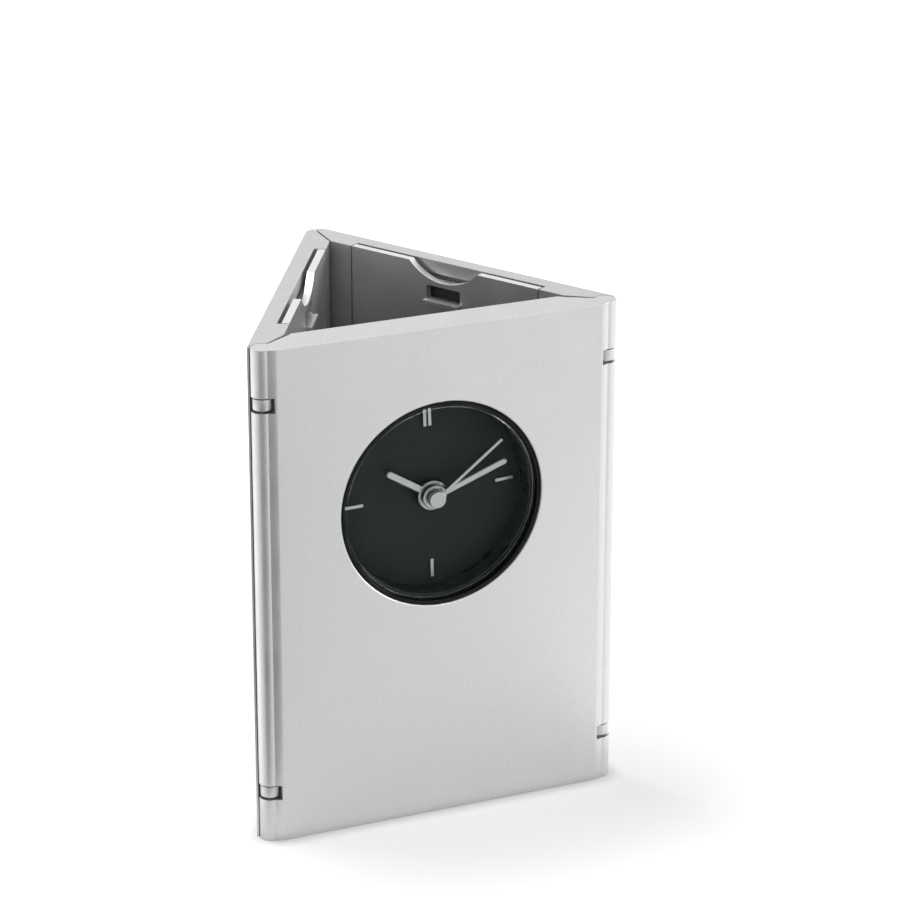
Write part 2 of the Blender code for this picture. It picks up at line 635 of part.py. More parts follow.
def make_inner_cover(looks, hinge, side, word):
    """The plate on the well side of a picture slot, with its thumb notch and finger catch."""
    cover = side_box(f"{word}_inner_cover", hinge, side, (TAB_LENGTH + CLEAR, POCKET_END - CLEAR),
                     (SLOT_END, SIDE_THICKNESS), (POCKET_FLOOR + CLEAR, HEIGHT), looks["silver"])
    bow = ((THUMB_WIDTH / 2.0) ** 2 + THUMB_DEPTH ** 2) / (2.0 * THUMB_DEPTH)
    thumb = rod(f"{word}_thumb_cutter", bow, -SIDE_THICKNESS - OVERRUN, SIDE_THICKNESS + OVERRUN,
                parent=hinge, location=(side * POCKET_MIDDLE, 0.0, HEIGHT + bow - THUMB_DEPTH),
                steps=2 * LARGE_STEPS)
    thumb.rotation_euler = (math.pi / 2.0, 0.0, 0.0)
    half = CATCH_WIDTH / 2.0
    catch_top = HEIGHT - CATCH_BELOW_TOP
    catch_low = catch_top - CATCH_HEIGHT
    along = (POCKET_MIDDLE - half, POCKET_MIDDLE + half)
    catch = side_box(f"{word}_catch_cutter", hinge, side, along, (SLOT_DEPTH, SIDE_THICKNESS + OVERRUN),
                     (catch_low, catch_top))
    ledge = side_box(f"{word}_catch_ledge", hinge, side, along,
                     ((SLOT_END + SIDE_THICKNESS) / 2.0, SIDE_THICKNESS + LEDGE_REACH),
                     (catch_low - LEDGE_HEIGHT, catch_low))
    cut(cover, thumb, catch)
    join(cover, ledge)


def make_magnets(looks, hinge, frame, side, word):
    """Two catch magnets let into the mitred rear edge, facing those of the other panel."""
    from_nose = NOSE_FAR - MAGNET_FROM_NOSE
    for height, place in ((MAGNET_FROM_END, "lower"), (HEIGHT - MAGNET_FROM_END, "upper")):
        across = HALF_SPAN
        back = from_nose - AXIS_DEPTH
        spot = (side * (across * COSINE + back * SINE), back * COSINE - across * SINE, height)
        turn = (0.0, math.pi / 2.0, -side * CLOSED_ANGLE)
        inner_end = MITRE_GAP + CLEAR + MAGNET_LENGTH
        ends = sorted((-side * inner_end, -side * (MITRE_GAP + CLEAR)))
        pocket_ends = sorted((-side * (inner_end + CLEAR), side * OVERRUN))
        magnet = rod(f"{word}_{place}_magnet", MAGNET_RADIUS, ends[0], ends[1], looks["steel"], hinge, spot)
        pocket = rod(f"{word}_{place}_magnet_cutter", MAGNET_RADIUS + CLEAR, pocket_ends[0],
                     pocket_ends[1], None, hinge, spot)
        for thing in (magnet, pocket):
            thing.rotation_euler = turn
        cut(frame, pocket)


# Clock: case, lens, dial and hands

def make_clock_case(looks, clock):
    """The turned case, its clamp ring, the lens, the dial and its five bar marks."""
    turned("clock_case",
           [(CASE_LIP_RADIUS, CASE_FRONT), (CASE_LIP_RADIUS, CASE_FLANGE_FRONT),
            (CASE_FLANGE_RADIUS, CASE_FLANGE_FRONT),
            (CASE_FLANGE_RADIUS, CASE_FLANGE_FRONT + CASE_FLANGE_THICKNESS),
            (CASE_BODY_RADIUS, CASE_FLANGE_FRONT + CASE_FLANGE_THICKNESS),
            (CASE_BODY_RADIUS, CASE_END), (REAR_BORE, CASE_END), (REAR_BORE, DIAL_BACK),
            (CHAMBER_RADIUS, DIAL_BACK), (CHAMBER_RADIUS, LENS_SEAT), (CASE_LIP_BORE, LENS_SEAT),
            (CASE_LIP_BORE, CASE_FRONT)],
           looks["black"], clock)
    ring_bore = CASE_BODY_RADIUS + CLEAR
    ring_front = CASE_FLANGE_FRONT + CASE_FLANGE_THICKNESS + CLEAR
    turned("clock_clamp_ring",
           [(ring_bore, ring_front), (ring_bore + CLAMP_WIDTH, ring_front),
            (ring_bore + CLAMP_WIDTH, COVER_FACE - CLEAR), (ring_bore, COVER_FACE - CLEAR)],
           looks["rubber"], clock)
    lens_radius = CASE_LIP_BORE - CLEAR
    turned("clock_lens",
           [(0.0, LENS_FRONT), (lens_radius - LENS_BEVEL, LENS_FRONT),
            (lens_radius, LENS_FRONT + LENS_BEVEL), (lens_radius, LENS_BACK), (0.0, LENS_BACK)],
           looks["clear"], clock)
    prism("dial_plate", [circle(DIAL_RADIUS, LARGE_STEPS), circle(DIAL_BORE, SMALL_STEPS)],
          DIAL_FACE, DIAL_BACK, looks["dial"], clock)
    half_pitch = MARK_PITCH / 2.0
    marks = (("mark_12_left", 0.0, -half_pitch), ("mark_12_right", 0.0, half_pitch),
             ("mark_3", 0.25, 0.0), ("mark_6", 0.5, 0.0), ("mark_9", 0.75, 0.0))
    for name, turn_share, aside in marks:
        bar = prism(name, [rectangle(aside - MARK_WIDTH / 2.0, aside + MARK_WIDTH / 2.0,
                                     -MARK_CENTRE_RADIUS - MARK_LENGTH / 2.0,
                                     -MARK_CENTRE_RADIUS + MARK_LENGTH / 2.0)],
                    DIAL_FACE - MARK_SEAT - MARK_THICKNESS, DIAL_FACE - MARK_SEAT, looks["bright"], clock)
        bar.rotation_euler = (0.0, 0.0, turn_share * math.tau + DIAL_TWIST)


def hand_outline(length, width, hub_radius):
    """A straight hand pointing up the dial: a bar with eased corners on a round hub."""
    half = width / 2.0
    ease = width * HAND_TIP_EASE_SHARE
    root = math.asin(half / hub_radius)
    shape = arc((0.0, 0.0), hub_radius, -math.pi / 2.0 + root, 1.5 * math.pi - root, MEDIUM_STEPS)
    return shape + [(-half, -length + ease), (-half + ease, -length), (half - ease, -length),
                    (half, -length + ease)]


def make_hands(looks, clock):
    """Hour, minute and second hands, each on its own pipe or arbor."""
    hour = prism("hour_hand", [hand_outline(HOUR_LENGTH, HOUR_WIDTH, HOUR_HUB_RADIUS),
                               circle(HOUR_PIPE_RADIUS + RUNNING, SMALL_STEPS)],
                 HOUR_DEPTH, HOUR_DEPTH + HAND_THICKNESS, looks["bright"], clock)
    hour.rotation_euler = (0.0, 0.0, HOUR_ANGLE)
    minute = prism("minute_hand", [hand_outline(MINUTE_LENGTH, MINUTE_WIDTH, MINUTE_HUB_RADIUS),
                                   circle(MINUTE_PIPE_RADIUS + RUNNING, SMALL_STEPS)],
                   MINUTE_DEPTH, MINUTE_DEPTH + HAND_THICKNESS, looks["bright"], clock)
    minute.rotation_euler = (0.0, 0.0, MINUTE_ANGLE)
    second = rod("second_hand", CAP_RADIUS, CAP_FRONT, CAP_END, looks["bright"], clock,
                 steps=MEDIUM_STEPS)
    half = SECOND_WIDTH / 2.0
    needle = prism("second_needle", [rectangle(-half, half, -SECOND_LENGTH, 0.0)], SECOND_DEPTH,
                   SECOND_DEPTH + CAP_HEIGHT * NEEDLE_HEIGHT_SHARE, None, clock)
    blind = CAP_FRONT + CAP_HEIGHT / 2.0
    bore = rod("second_bore_cutter", ARBOR_RADIUS + RUNNING, blind, CAP_END + OVERRUN,
               parent=clock)
    join(second, needle)
    cut(second, bore)
    for thing in (second, needle):
        thing.rotation_euler = (0.0, 0.0, SECOND_ANGLE)


# Movement: plates, wheels, motor and cell

def level(number):
    """The lowest and highest depth of a gear level, counted from one behind the front plate."""
    face = LEVEL_ONE + (number - 1) * LEVEL_PITCH
    return face, face + LEVEL_FACE


def gear_outline(teeth, pitch_radius, phase):
    """A wheel's outline: one root point and two tip points for each tooth, from a first tooth at phase."""
    module = 2.0 * pitch_radius / teeth
    tip = pitch_radius + ADDENDUM_SHARE * module
    root = pitch_radius - DEDENDUM_SHARE * module
    step = math.tau / teeth
    half_tip = TIP_WIDTH_SHARE * step / 2.0
    shape = []
    for tooth in range(teeth):
        angle = phase + tooth * step
        for radius, turn in ((tip, -half_tip), (tip, half_tip), (root, step / 2.0)):
            shape.append((radius * math.cos(angle + turn), radius * math.sin(angle + turn)))
    return shape


def meshed_phase(teeth, phase, line, other_teeth):
    """The other wheel's phase, so that its gap faces this wheel's tooth along the line of centres."""
    share = ((line - phase) * teeth / math.tau) % 1.0
    return line + math.pi - (0.5 - share) * math.tau / other_teeth


def pitch_radii(distance, teeth, other_teeth):
    """The pitch radii of two meshed wheels from the distance between their axes."""
    return distance * teeth / (teeth + other_teeth), distance * other_teeth / (teeth + other_teeth)


def line_angle(start, end):
    """The direction from one axis to another."""
    return math.atan2(end[1] - start[1], end[0] - start[0])


def train_places():
    """The axis of each wheel in the clock's frame."""
    intermediate = bearing(INTERMEDIATE_BEARING, INTERMEDIATE_DISTANCE)
    aside = bearing(ROTOR_BEARING, ROTOR_DISTANCE)
    return {"centre": (0.0, 0.0), "third": bearing(THIRD_BEARING, THIRD_DISTANCE),
            "intermediate": intermediate,
            "rotor": (intermediate[0] + aside[0], intermediate[1] + aside[1]),
            "minute": bearing(MINUTE_BEARING, MINUTE_DISTANCE)}


def wheel(name, look, clock, place, arbor, gears):
    """An arbor with one or two toothed wheels fused on; each gear is teeth, radius, phase and level."""
    location = (place[0], place[1], 0.0)
    shaft = rod(name, ARBOR_RADIUS, arbor[0], arbor[1], look, clock, location)
    for teeth, radius, phase, number in gears:
        low, high = level(number)
        toothed = prism(f"{name}_teeth_{number}", [gear_outline(teeth, radius, phase)], low, high, None,
                        clock, location)
        join(shaft, toothed)
    return shaft


def make_train(looks, clock):
    """The going train, from the motor's rotor to the seconds arbor and the centre wheel."""
    places = train_places()
    pivots = (PIVOT_FRONT, PIVOT_END)
    second_radius, intermediate_pinion_radius = pitch_radii(INTERMEDIATE_DISTANCE, TEETH_SECOND,
                                                            TEETH_INTERMEDIATE_PINION)
    second_pinion_radius, third_radius = pitch_radii(THIRD_DISTANCE, TEETH_SECOND_PINION, TEETH_THIRD)
    centre_radius, third_pinion_radius = pitch_radii(THIRD_DISTANCE, TEETH_CENTRE, TEETH_THIRD_PINION)
    intermediate_radius, rotor_radius = pitch_radii(ROTOR_DISTANCE, TEETH_INTERMEDIATE, TEETH_ROTOR)

    to_third = line_angle(places["centre"], places["third"])
    to_intermediate = line_angle(places["centre"], places["intermediate"])
    to_rotor = line_angle(places["intermediate"], places["rotor"])
    third_phase = meshed_phase(TEETH_SECOND_PINION, 0.0, to_third, TEETH_THIRD)
    third_pinion_phase = meshed_phase(TEETH_CENTRE, 0.0, to_third, TEETH_THIRD_PINION)
    pinion_phase = meshed_phase(TEETH_SECOND, 0.0, to_intermediate, TEETH_INTERMEDIATE_PINION)
    rotor_phase = meshed_phase(TEETH_INTERMEDIATE, 0.0, to_rotor, TEETH_ROTOR)

    wheel("second_wheel", looks["brass"], clock, places["centre"],
          (CAP_FRONT + CAP_HEIGHT / 2.0 + CLEAR, PIVOT_END),
          [(TEETH_SECOND_PINION, second_pinion_radius, 0.0, 4), (TEETH_SECOND, second_radius, 0.0, 5)])
    wheel("third_wheel", looks["nylon"], clock, places["third"], pivots,
          [(TEETH_THIRD_PINION, third_pinion_radius, third_pinion_phase, 3),
           (TEETH_THIRD, third_radius, third_phase, 4)])
    wheel("intermediate_wheel", looks["nylon"], clock, places["intermediate"], pivots,
          [(TEETH_INTERMEDIATE_PINION, intermediate_pinion_radius, pinion_phase, 5),
           (TEETH_INTERMEDIATE, intermediate_radius, 0.0, 6)])
    wheel("rotor", looks["nylon"], clock, places["rotor"], pivots,
          [(TEETH_ROTOR, rotor_radius, rotor_phase, 6)])
    low, high = level(3)
    prism("centre_wheel", [gear_outline(TEETH_CENTRE, centre_radius, 0.0),
                           circle(MINUTE_PIPE_RADIUS + PIPE_GAP, SMALL_STEPS)],
          low, high, looks["brass"], clock)


def make_motion_work(looks, clock):
    """Minute pipe, minute wheel with the setting knob, and hour wheel: twelve turns to one."""
    places = train_places()
    to_minute = line_angle(places["centre"], places["minute"])
    cannon_radius, minute_radius = pitch_radii(MINUTE_DISTANCE, TEETH_CANNON, TEETH_MINUTE)
    hour_radius, pinion_radius = pitch_radii(MINUTE_DISTANCE, TEETH_HOUR, TEETH_MINUTE_PINION)
    minute_phase = meshed_phase(TEETH_CANNON, 0.0, to_minute, TEETH_MINUTE)
    pinion_phase = meshed_phase(TEETH_HOUR, 0.0, to_minute, TEETH_MINUTE_PINION)
    knob_face = HOUSING_END + CLEAR

    low, high = level(2)
    pipe = prism("minute_pipe", [circle(MINUTE_PIPE_RADIUS, SMALL_STEPS)],
                 MINUTE_DEPTH - PIPE_PROUD, level(3)[1], looks["brass"], clock)
    cannon = prism("minute_pipe_teeth", [gear_outline(TEETH_CANNON, cannon_radius, 0.0)], low, high,
                   None, clock)
    pipe_bore = rod("minute_pipe_cutter", MINUTE_PIPE_BORE, 0.0, HOUSING_END, parent=clock)
    join(pipe, cannon)
    cut(pipe, pipe_bore)
    wheel("minute_wheel", looks["nylon"], clock, places["minute"],
          (PIVOT_FRONT, knob_face + KNOB_THICKNESS - KNOB_FLOOR - CLEAR),
          [(TEETH_MINUTE_PINION, pinion_radius, pinion_phase, 1),
           (TEETH_MINUTE, minute_radius, minute_phase, 2)])
    low, high = level(1)
    hour = prism("hour_wheel", [circle(HOUR_PIPE_RADIUS, SMALL_STEPS)], HOUR_DEPTH - PIPE_PROUD, high,
                 looks["nylon"], clock)
    hour_teeth = prism("hour_wheel_teeth", [gear_outline(TEETH_HOUR, hour_radius, 0.0)], low, high, None,
                       clock)
    hour_bore = rod("hour_pipe_cutter", HOUR_PIPE_BORE, 0.0, HOUSING_END, parent=clock)
    join(hour, hour_teeth)
    cut(hour, hour_bore)

    knob_points = []
    for rib in range(2 * KNOB_RIBS):
        radius = KNOB_RADIUS * (1.0 - KNOB_RIB_SHARE * (rib % 2))
        angle = rib * math.tau / (2 * KNOB_RIBS)
        knob_points.append((radius * math.cos(angle), radius * math.sin(angle)))
    spot = (*places["minute"], 0.0)
    knob = prism("setting_knob", [knob_points], knob_face, knob_face + KNOB_THICKNESS, looks["black"],
                 clock, spot)
    socket = rod("knob_socket_cutter", ARBOR_RADIUS + RUNNING, HOUSING_END - OVERRUN,
                 knob_face + KNOB_THICKNESS - KNOB_FLOOR, parent=clock, location=spot)
    cut(knob, socket)


def make_movement_case(looks, clock):
    """Front plate and rear housing, with a bearing hole for each arbor."""
    places = train_places()
    bearing_radius = ARBOR_RADIUS + RUNNING
    arbors = [places[name] for name in ("third", "intermediate", "rotor", "minute")]
    holes = [circle(DIAL_BORE, SMALL_STEPS)] + [circle(bearing_radius, SMALL_STEPS, at) for at in arbors]
    prism("movement_plate", [circle(HOUSING_RADIUS, LARGE_STEPS)] + holes, PLATE_FACE, PLATE_BACK,
          looks["nylon"], clock)
    housing = turned("movement_housing",
                     [(HOUSING_BORE, HOUSING_FRONT), (HOUSING_RADIUS, HOUSING_FRONT),
                      (HOUSING_RADIUS, HOUSING_END), (0.0, HOUSING_END), (0.0, HOUSING_FLOOR),
                      (HOUSING_BORE, HOUSING_FLOOR)], looks["black"], clock)
    for number, at in enumerate([places["centre"]] + arbors, 1):
        cut(housing, rod(f"bearing_cutter_{number}", bearing_radius, HOUSING_FLOOR - CLEAR,
                         HOUSING_END + OVERRUN, parent=clock, location=(*at, 0.0)))
    cell = bearing(CELL_BEARING, CELL_DISTANCE)
    cut(housing, rod("cell_cutter", CELL_POCKET_RADIUS, HOUSING_FLOOR - CLEAR,
                     HOUSING_END + OVERRUN, parent=clock, location=(*cell, 0.0), steps=MEDIUM_STEPS))


def make_motor(looks, clock):
    """The rotor's magnet, the stator plate, the coil and the circuit board."""
    rotor = train_places()["rotor"]
    spot = (*rotor, 0.0)
    middle = PLATE_BACK + CLEAR + COIL_RADIUS
    disc_low = middle - MAGNET_DISC_DEPTH / 2.0
    turned("rotor_magnet",
           [(ARBOR_RADIUS + RUNNING, disc_low), (MAGNET_DISC_RADIUS, disc_low),
            (MAGNET_DISC_RADIUS, disc_low + MAGNET_DISC_DEPTH),
            (ARBOR_RADIUS + RUNNING, disc_low + MAGNET_DISC_DEPTH)],
           looks["steel"], clock, spot, MEDIUM_STEPS)
    gap = MAGNET_DISC_RADIUS + CLEAR
    ring = gap + STATOR_MARGIN
    tail = rotor[1] + ring + STATOR_TAIL
    prism("stator", [rectangle(rotor[0] - ring, rotor[0] + ring, rotor[1] - ring, tail),
                     circle(gap, MEDIUM_STEPS, rotor)],
          middle - STATOR_THICKNESS / 2.0, middle + STATOR_THICKNESS / 2.0, looks["steel"], clock)
    wound = COIL_RADIUS - COIL_GROOVE
    coil_far = tail + CLEAR + COIL_LENGTH
    coil = turned("coil", [(0.0, 0.0), (COIL_RADIUS, 0.0), (COIL_RADIUS, COIL_FLANGE),
                           (wound, COIL_FLANGE), (wound, COIL_LENGTH - COIL_FLANGE),
                           (COIL_RADIUS, COIL_LENGTH - COIL_FLANGE), (COIL_RADIUS, COIL_LENGTH),
                           (0.0, COIL_LENGTH)], looks["copper"], clock,
                  (rotor[0] + ring - COIL_RADIUS + STATOR_MARGIN, coil_far, middle), SMALL_STEPS)
    coil.rotation_euler = (math.pi / 2.0, 0.0, 0.0)
    board_left = -HOUSING_BORE + BOARD_FROM_WALL
    board_top = -BOARD_HEIGHT * BOARD_ABOVE_SHARE
    block("circuit_board", (board_left, board_top, HOUSING_FLOOR - CLEAR - BOARD_THICKNESS),
          (board_left + BOARD_WIDTH, board_top + BOARD_HEIGHT, HOUSING_FLOOR - CLEAR), looks["board"],
          clock)


def make_cell(looks, clock):
    """Button cell, its two contacts and the twist-off cover with a coin slot."""
    at = (*bearing(CELL_BEARING, CELL_DISTANCE), 0.0)
    half_wide = CONTACT_WIDTH / 2.0
    half_long = CONTACT_LENGTH / 2.0
    strip = [rectangle(-half_wide, half_wide, -half_long, half_long)]
    prism("battery_contact_minus", strip, CONTACT_LOW, CONTACT_LOW + CONTACT_THICKNESS, looks["steel"],
          clock, at)
    rod("battery_cell", CELL_RADIUS, CELL_LOW, CELL_HIGH, looks["steel"], clock, at, MEDIUM_STEPS)
    prism("battery_contact_plus", strip, CONTACT_HIGH, CONTACT_HIGH + CONTACT_THICKNESS,
          looks["steel"], clock, at)
    cover = rod("battery_cover", CELL_RADIUS + CLEAR, CELL_COVER_FACE, HOUSING_END,
                looks["black"], clock, at, MEDIUM_STEPS)
    half_slot = COIN_SLOT_WIDTH / 2.0
    slot_half_length = CELL_RADIUS * COIN_SLOT_LENGTH_SHARE / 2.0
    coin = prism("coin_slot_cutter", [rectangle(-slot_half_length, slot_half_length, -half_slot, half_slot)],
                 HOUSING_END - CELL_COVER_THICKNESS / 2.0, HOUSING_END + OVERRUN, None, clock, at)
    cut(cover, coin)


def main():
    """Build the whole pen holder clock."""
    clear_scene()
    looks = {
        "silver": material("satin_silver", (0.60, 0.60, 0.61), 0.34, 0.85),
        "steel": material("steel", (0.55, 0.55, 0.56), 0.30, 1.0),
        "bright": material("bright_silver", (0.78, 0.78, 0.78), 0.25, 0.90),
        "brass": material("brass", (0.66, 0.50, 0.24), 0.35, 1.0),
        "copper": material("enamelled_copper", (0.45, 0.17, 0.08), 0.40, 0.60),
        "black": material("black_plastic", (0.012, 0.014, 0.014), 0.35),
        "dial": material("dial_black", (0.020, 0.026, 0.026), 0.45),
        "nylon": material("white_nylon", (0.75, 0.74, 0.70), 0.50),
        "rubber": material("black_rubber", (0.020, 0.020, 0.020), 0.80),
        "board": material("circuit_board", (0.02, 0.10, 0.05), 0.50),
        "card": material("card", (0.85, 0.85, 0.83), 0.70),
        "clear": material("clear_acrylic", (0.90, 0.95, 0.93), 0.05, 0.0, 0.30),
    }
    face = empty("front_face", (0.0, FRONT_Y, 0.0), (-math.pi / 2.0, 0.0, 0.0))
    clock = empty("clock_centre", (0.0, FRONT_Y, DIAL_HEIGHT), (-math.pi / 2.0, 0.0, 0.0))
    make_front_panel(looks, face)
    for side, word in ((1, "left"), (-1, "right")):
        make_side_panel(looks, side, word)
    make_clock_case(looks, clock)
    make_hands(looks, clock)
    make_train(looks, clock)
    make_motion_work(looks, clock)
    make_movement_case(looks, clock)
    make_motor(looks, clock)
    make_cell(looks, clock)


main()
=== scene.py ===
# %% [markdown]
# # A folding desk holder with a clock
# Three upright panels make a closed triangle round an open well. The front panel carries a small quartz
# clock, and the two side panels are slim picture frames that swing on round beads at its ends.
# The pieces come from an imported model. This notebook makes the
# surfaces that show: fine shells with eased edges, and the lacquers, plastics and glass they are made of.

# %% Load the imported model
import json
import math

import bmesh
import bpy
import numpy as np
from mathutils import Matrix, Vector


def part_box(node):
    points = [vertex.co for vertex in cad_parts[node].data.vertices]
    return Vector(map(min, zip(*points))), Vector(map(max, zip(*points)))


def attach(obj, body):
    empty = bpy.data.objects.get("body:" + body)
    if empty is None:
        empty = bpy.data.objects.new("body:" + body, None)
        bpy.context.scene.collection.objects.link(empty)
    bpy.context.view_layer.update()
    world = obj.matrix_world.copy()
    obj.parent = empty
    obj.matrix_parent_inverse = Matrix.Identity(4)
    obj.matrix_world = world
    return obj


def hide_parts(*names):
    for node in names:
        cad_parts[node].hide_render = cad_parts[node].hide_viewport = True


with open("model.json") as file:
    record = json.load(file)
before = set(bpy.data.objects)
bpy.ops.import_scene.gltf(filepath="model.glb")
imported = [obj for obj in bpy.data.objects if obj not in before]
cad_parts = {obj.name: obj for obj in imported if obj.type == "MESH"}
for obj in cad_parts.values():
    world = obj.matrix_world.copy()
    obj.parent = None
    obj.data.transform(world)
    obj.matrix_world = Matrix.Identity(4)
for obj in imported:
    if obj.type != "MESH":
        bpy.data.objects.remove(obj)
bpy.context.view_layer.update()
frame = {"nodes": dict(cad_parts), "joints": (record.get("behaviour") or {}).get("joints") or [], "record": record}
joints = {joint["name"]: joint for joint in frame["joints"]}
print("nodes:", len(frame["nodes"]), "joints:", len(joints))

# %% [markdown]
# ## Where everything is
# Every size below is the real one, written in millimetres and turned into metres by `MM`. Places that the
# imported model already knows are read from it: the hinge axes and the clock's centre are joint axes, and
# the height of the panels is the height of the front panel's box. So a piece made here can't drift away
# from the piece that it dresses.
# `CLEAR` is the gap between neighbouring parts, `RUNNING` the play round a pin, and `PAST` is how far a
# cutter overshoots the surface that it cuts.

# %% Main places, read from the model
MM = 0.001
CLEAR = 0.3 * MM
RUNNING = 0.15 * MM
PAST = 1.0 * MM
front_low, front_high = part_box("front_shell")
HEIGHT = front_high.z - front_low.z
FRONT_Y = front_low.y
FRONT_THICKNESS = front_high.y - front_low.y
hinge_x, AXIS_Y = joints["right_hinge"]["pos_m"][:2]
HALF_SPAN = abs(hinge_x)
CLOCK = np.array(joints["minute_hand_turn"]["pos_m"]) * (1.0, 0.0, 1.0) + (0.0, FRONT_Y, 0.0)
CLOSED = math.radians(60.0)
print("front face at y", round(FRONT_Y, 5), "hinges at x", round(HALF_SPAN, 5), "clock at z", CLOCK[2])


def middle_of(node):
    """The middle of a node's box in the clock's frame, right and up."""
    low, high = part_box(node)
    return ((low.x + high.x) / 2.0 - CLOCK[0], (low.z + high.z) / 2.0 - CLOCK[2])


def axis_of(joint):
    """A joint's axis in the clock's frame, right and up."""
    x, y, z = joints[joint]["pos_m"]
    return (x - CLOCK[0], z - CLOCK[2])


def radius_of(node):
    """Half the width of a round node's box."""
    low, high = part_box(node)
    return (high.x - low.x) / 2.0


def depths_of(node):
    """How far behind the front face a node begins and ends."""
    low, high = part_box(node)
    return low.y - FRONT_Y, high.y - FRONT_Y


# %% [markdown]
# ## Helpers for surfaces
# A moulded piece is either turned about an axis or drawn along one, so two kinds of surface do nearly all
# the work: a profile swept round the clock's axis, and a plan outline drawn between two heights. Both are
# grids of points worked out as whole arrays. The grid's neighbours become faces in one go.

# %% Faces of a grid
def grid_faces(rows, columns, wrap_rows=False, wrap_columns=False):
    """Corner numbers of every cell in a grid of points, row after row, joined at the ends if wrapped."""
    r = np.arange(rows if wrap_rows else rows - 1)[:, None]
    c = np.arange(columns if wrap_columns else columns - 1)[None, :]
    below, beside = (r + 1) % rows, (c + 1) % columns
    cells = np.stack(np.broadcast_arrays(r * columns + c, r * columns + beside,
                                         below * columns + beside, below * columns + c), axis=-1)
    return cells.reshape(-1, 4)


# %% Points and faces into an object
MERGE = 0.0001 * MM


def make_piece(name, points, faces):
    """A closed mesh object: doubled points merged, and every face turned outwards."""
    mesh = bpy.data.meshes.new(name)
    mesh.from_pydata(np.asarray(points).tolist(), [], [list(map(int, face)) for face in faces])
    shape = bmesh.new()
    shape.from_mesh(mesh)
    bmesh.ops.remove_doubles(shape, verts=shape.verts, dist=MERGE)
    bmesh.ops.dissolve_degenerate(shape, edges=shape.edges, dist=MERGE)
    bmesh.ops.recalc_face_normals(shape, faces=shape.faces)
    shape.to_mesh(mesh)
    shape.free()
    mesh.shade_smooth()
    piece = bpy.data.objects.new(name, mesh)
    bpy.context.scene.collection.objects.link(piece)
    return piece


# %% [markdown]
# The clock parts are drawn in the clock's own frame: the first number runs to the right, the second up,
# and the third back into the case, counted from the front face. The panels use the plan seen from above.

# %% From a piece's own frame to the model's
def clock_frame(points, centre=(0.0, 0.0)):
    """Right, up and depth on the clock's axis to X, Z and Y, with an own centre for parts beside it."""
    right, up, depth = np.moveaxis(np.asarray(points, float), -1, 0)
    return np.stack([CLOCK[0] + centre[0] + right, CLOCK[1] + depth, CLOCK[2] + centre[1] + up], axis=-1)


def side_frame(points, side):
    """A side panel's own plan, X along the panel from its hinge, turned by 60 degrees to where it stands."""
    along, out, up = np.moveaxis(np.asarray(points, float), -1, 0)
    turn = side * CLOSED
    along = side * along
    x = along * math.cos(turn) - out * math.sin(turn)
    y = along * math.sin(turn) + out * math.cos(turn)
    return np.stack([x - side * HALF_SPAN, y + AXIS_Y, up], axis=-1)


# %% [markdown]
# An outline is a row of points round a shape. Its corners are rounded with parabola arcs, because they
# need no centre and fit any angle, so the same helper eases a square plate and a stepped profile.

# %% Outlines
NEARLY_HALF = 0.45


def arc(radius, start, stop, steps, centre=(0.0, 0.0)):
    """Points on a circle: centre plus radius times the cosine and sine of evenly spaced angles."""
    angle = np.linspace(start, stop, steps + 1)
    return np.column_stack([centre[0] + radius * np.cos(angle), centre[1] + radius * np.sin(angle)])


def circle(radius, steps, centre=(0.0, 0.0)):
    """A closed round outline, without repeating the first point."""
    return arc(radius, 0.0, math.tau, steps, centre)[:-1]


def rectangle(low_x, high_x, low_y, high_y):
    """Four corners, anticlockwise."""
    return np.array([(low_x, low_y), (high_x, low_y), (high_x, high_y), (low_x, high_y)])


def eased(corners, radius, steps=6):
    """A closed outline with its corners rounded.

    Each corner becomes a parabola arc: (1-t)^2 A + 2t(1-t) P + t^2 B, where P is the corner and A and B lie
    on its two sides, radius away from it or nearly half the side where that is shorter.
    """
    corners = np.asarray(corners, float)
    reach = np.broadcast_to(np.asarray(radius, float), len(corners))
    to_last, to_next = np.roll(corners, 1, axis=0) - corners, np.roll(corners, -1, axis=0) - corners
    t = np.linspace(0.0, 1.0, steps + 1)[None, :, None]
    ends = []
    for way in (to_last, to_next):
        length = np.linalg.norm(way, axis=1)
        ends.append(corners + way * (np.minimum(reach, NEARLY_HALF * length) / length)[:, None])
    start, stop, corner = ends[0][:, None], ends[1][:, None], corners[:, None]
    curve = (1.0 - t) ** 2 * start + 2.0 * t * (1.0 - t) * corner + t ** 2 * stop
    return curve.reshape(-1, 2)


# %% Turned and drawn pieces
TURN_STEPS = 192


def turned(name, profile, centre=(0.0, 0.0), steps=TURN_STEPS):
    """A closed profile of (radius, depth) points swept round the clock's axis: (r sin a, r cos a, d)."""
    angle = np.arange(steps) * math.tau / steps
    radius, depth = np.asarray(profile, float).T[:, :, None]
    grid = np.stack(np.broadcast_arrays(radius * np.sin(angle), radius * np.cos(angle), depth), axis=-1)
    faces = grid_faces(len(profile), steps, True, True)
    return make_piece(name, clock_frame(grid, centre).reshape(-1, 3), faces)


def drawn(name, outline, low, high, place):
    """An outline carried from low to high along the third direction, closed by a flat face at each end."""
    outline = np.asarray(outline, float)
    count = len(outline)
    rings = [np.column_stack([outline, np.full(count, level)]) for level in (low, high)]
    faces = list(grid_faces(2, count, False, True)) + [np.arange(count), np.arange(count) + count]
    return make_piece(name, place(np.concatenate(rings)), faces)


def in_plan(points):
    """The plan seen from above is already in the model's frame."""
    return np.asarray(points, float)


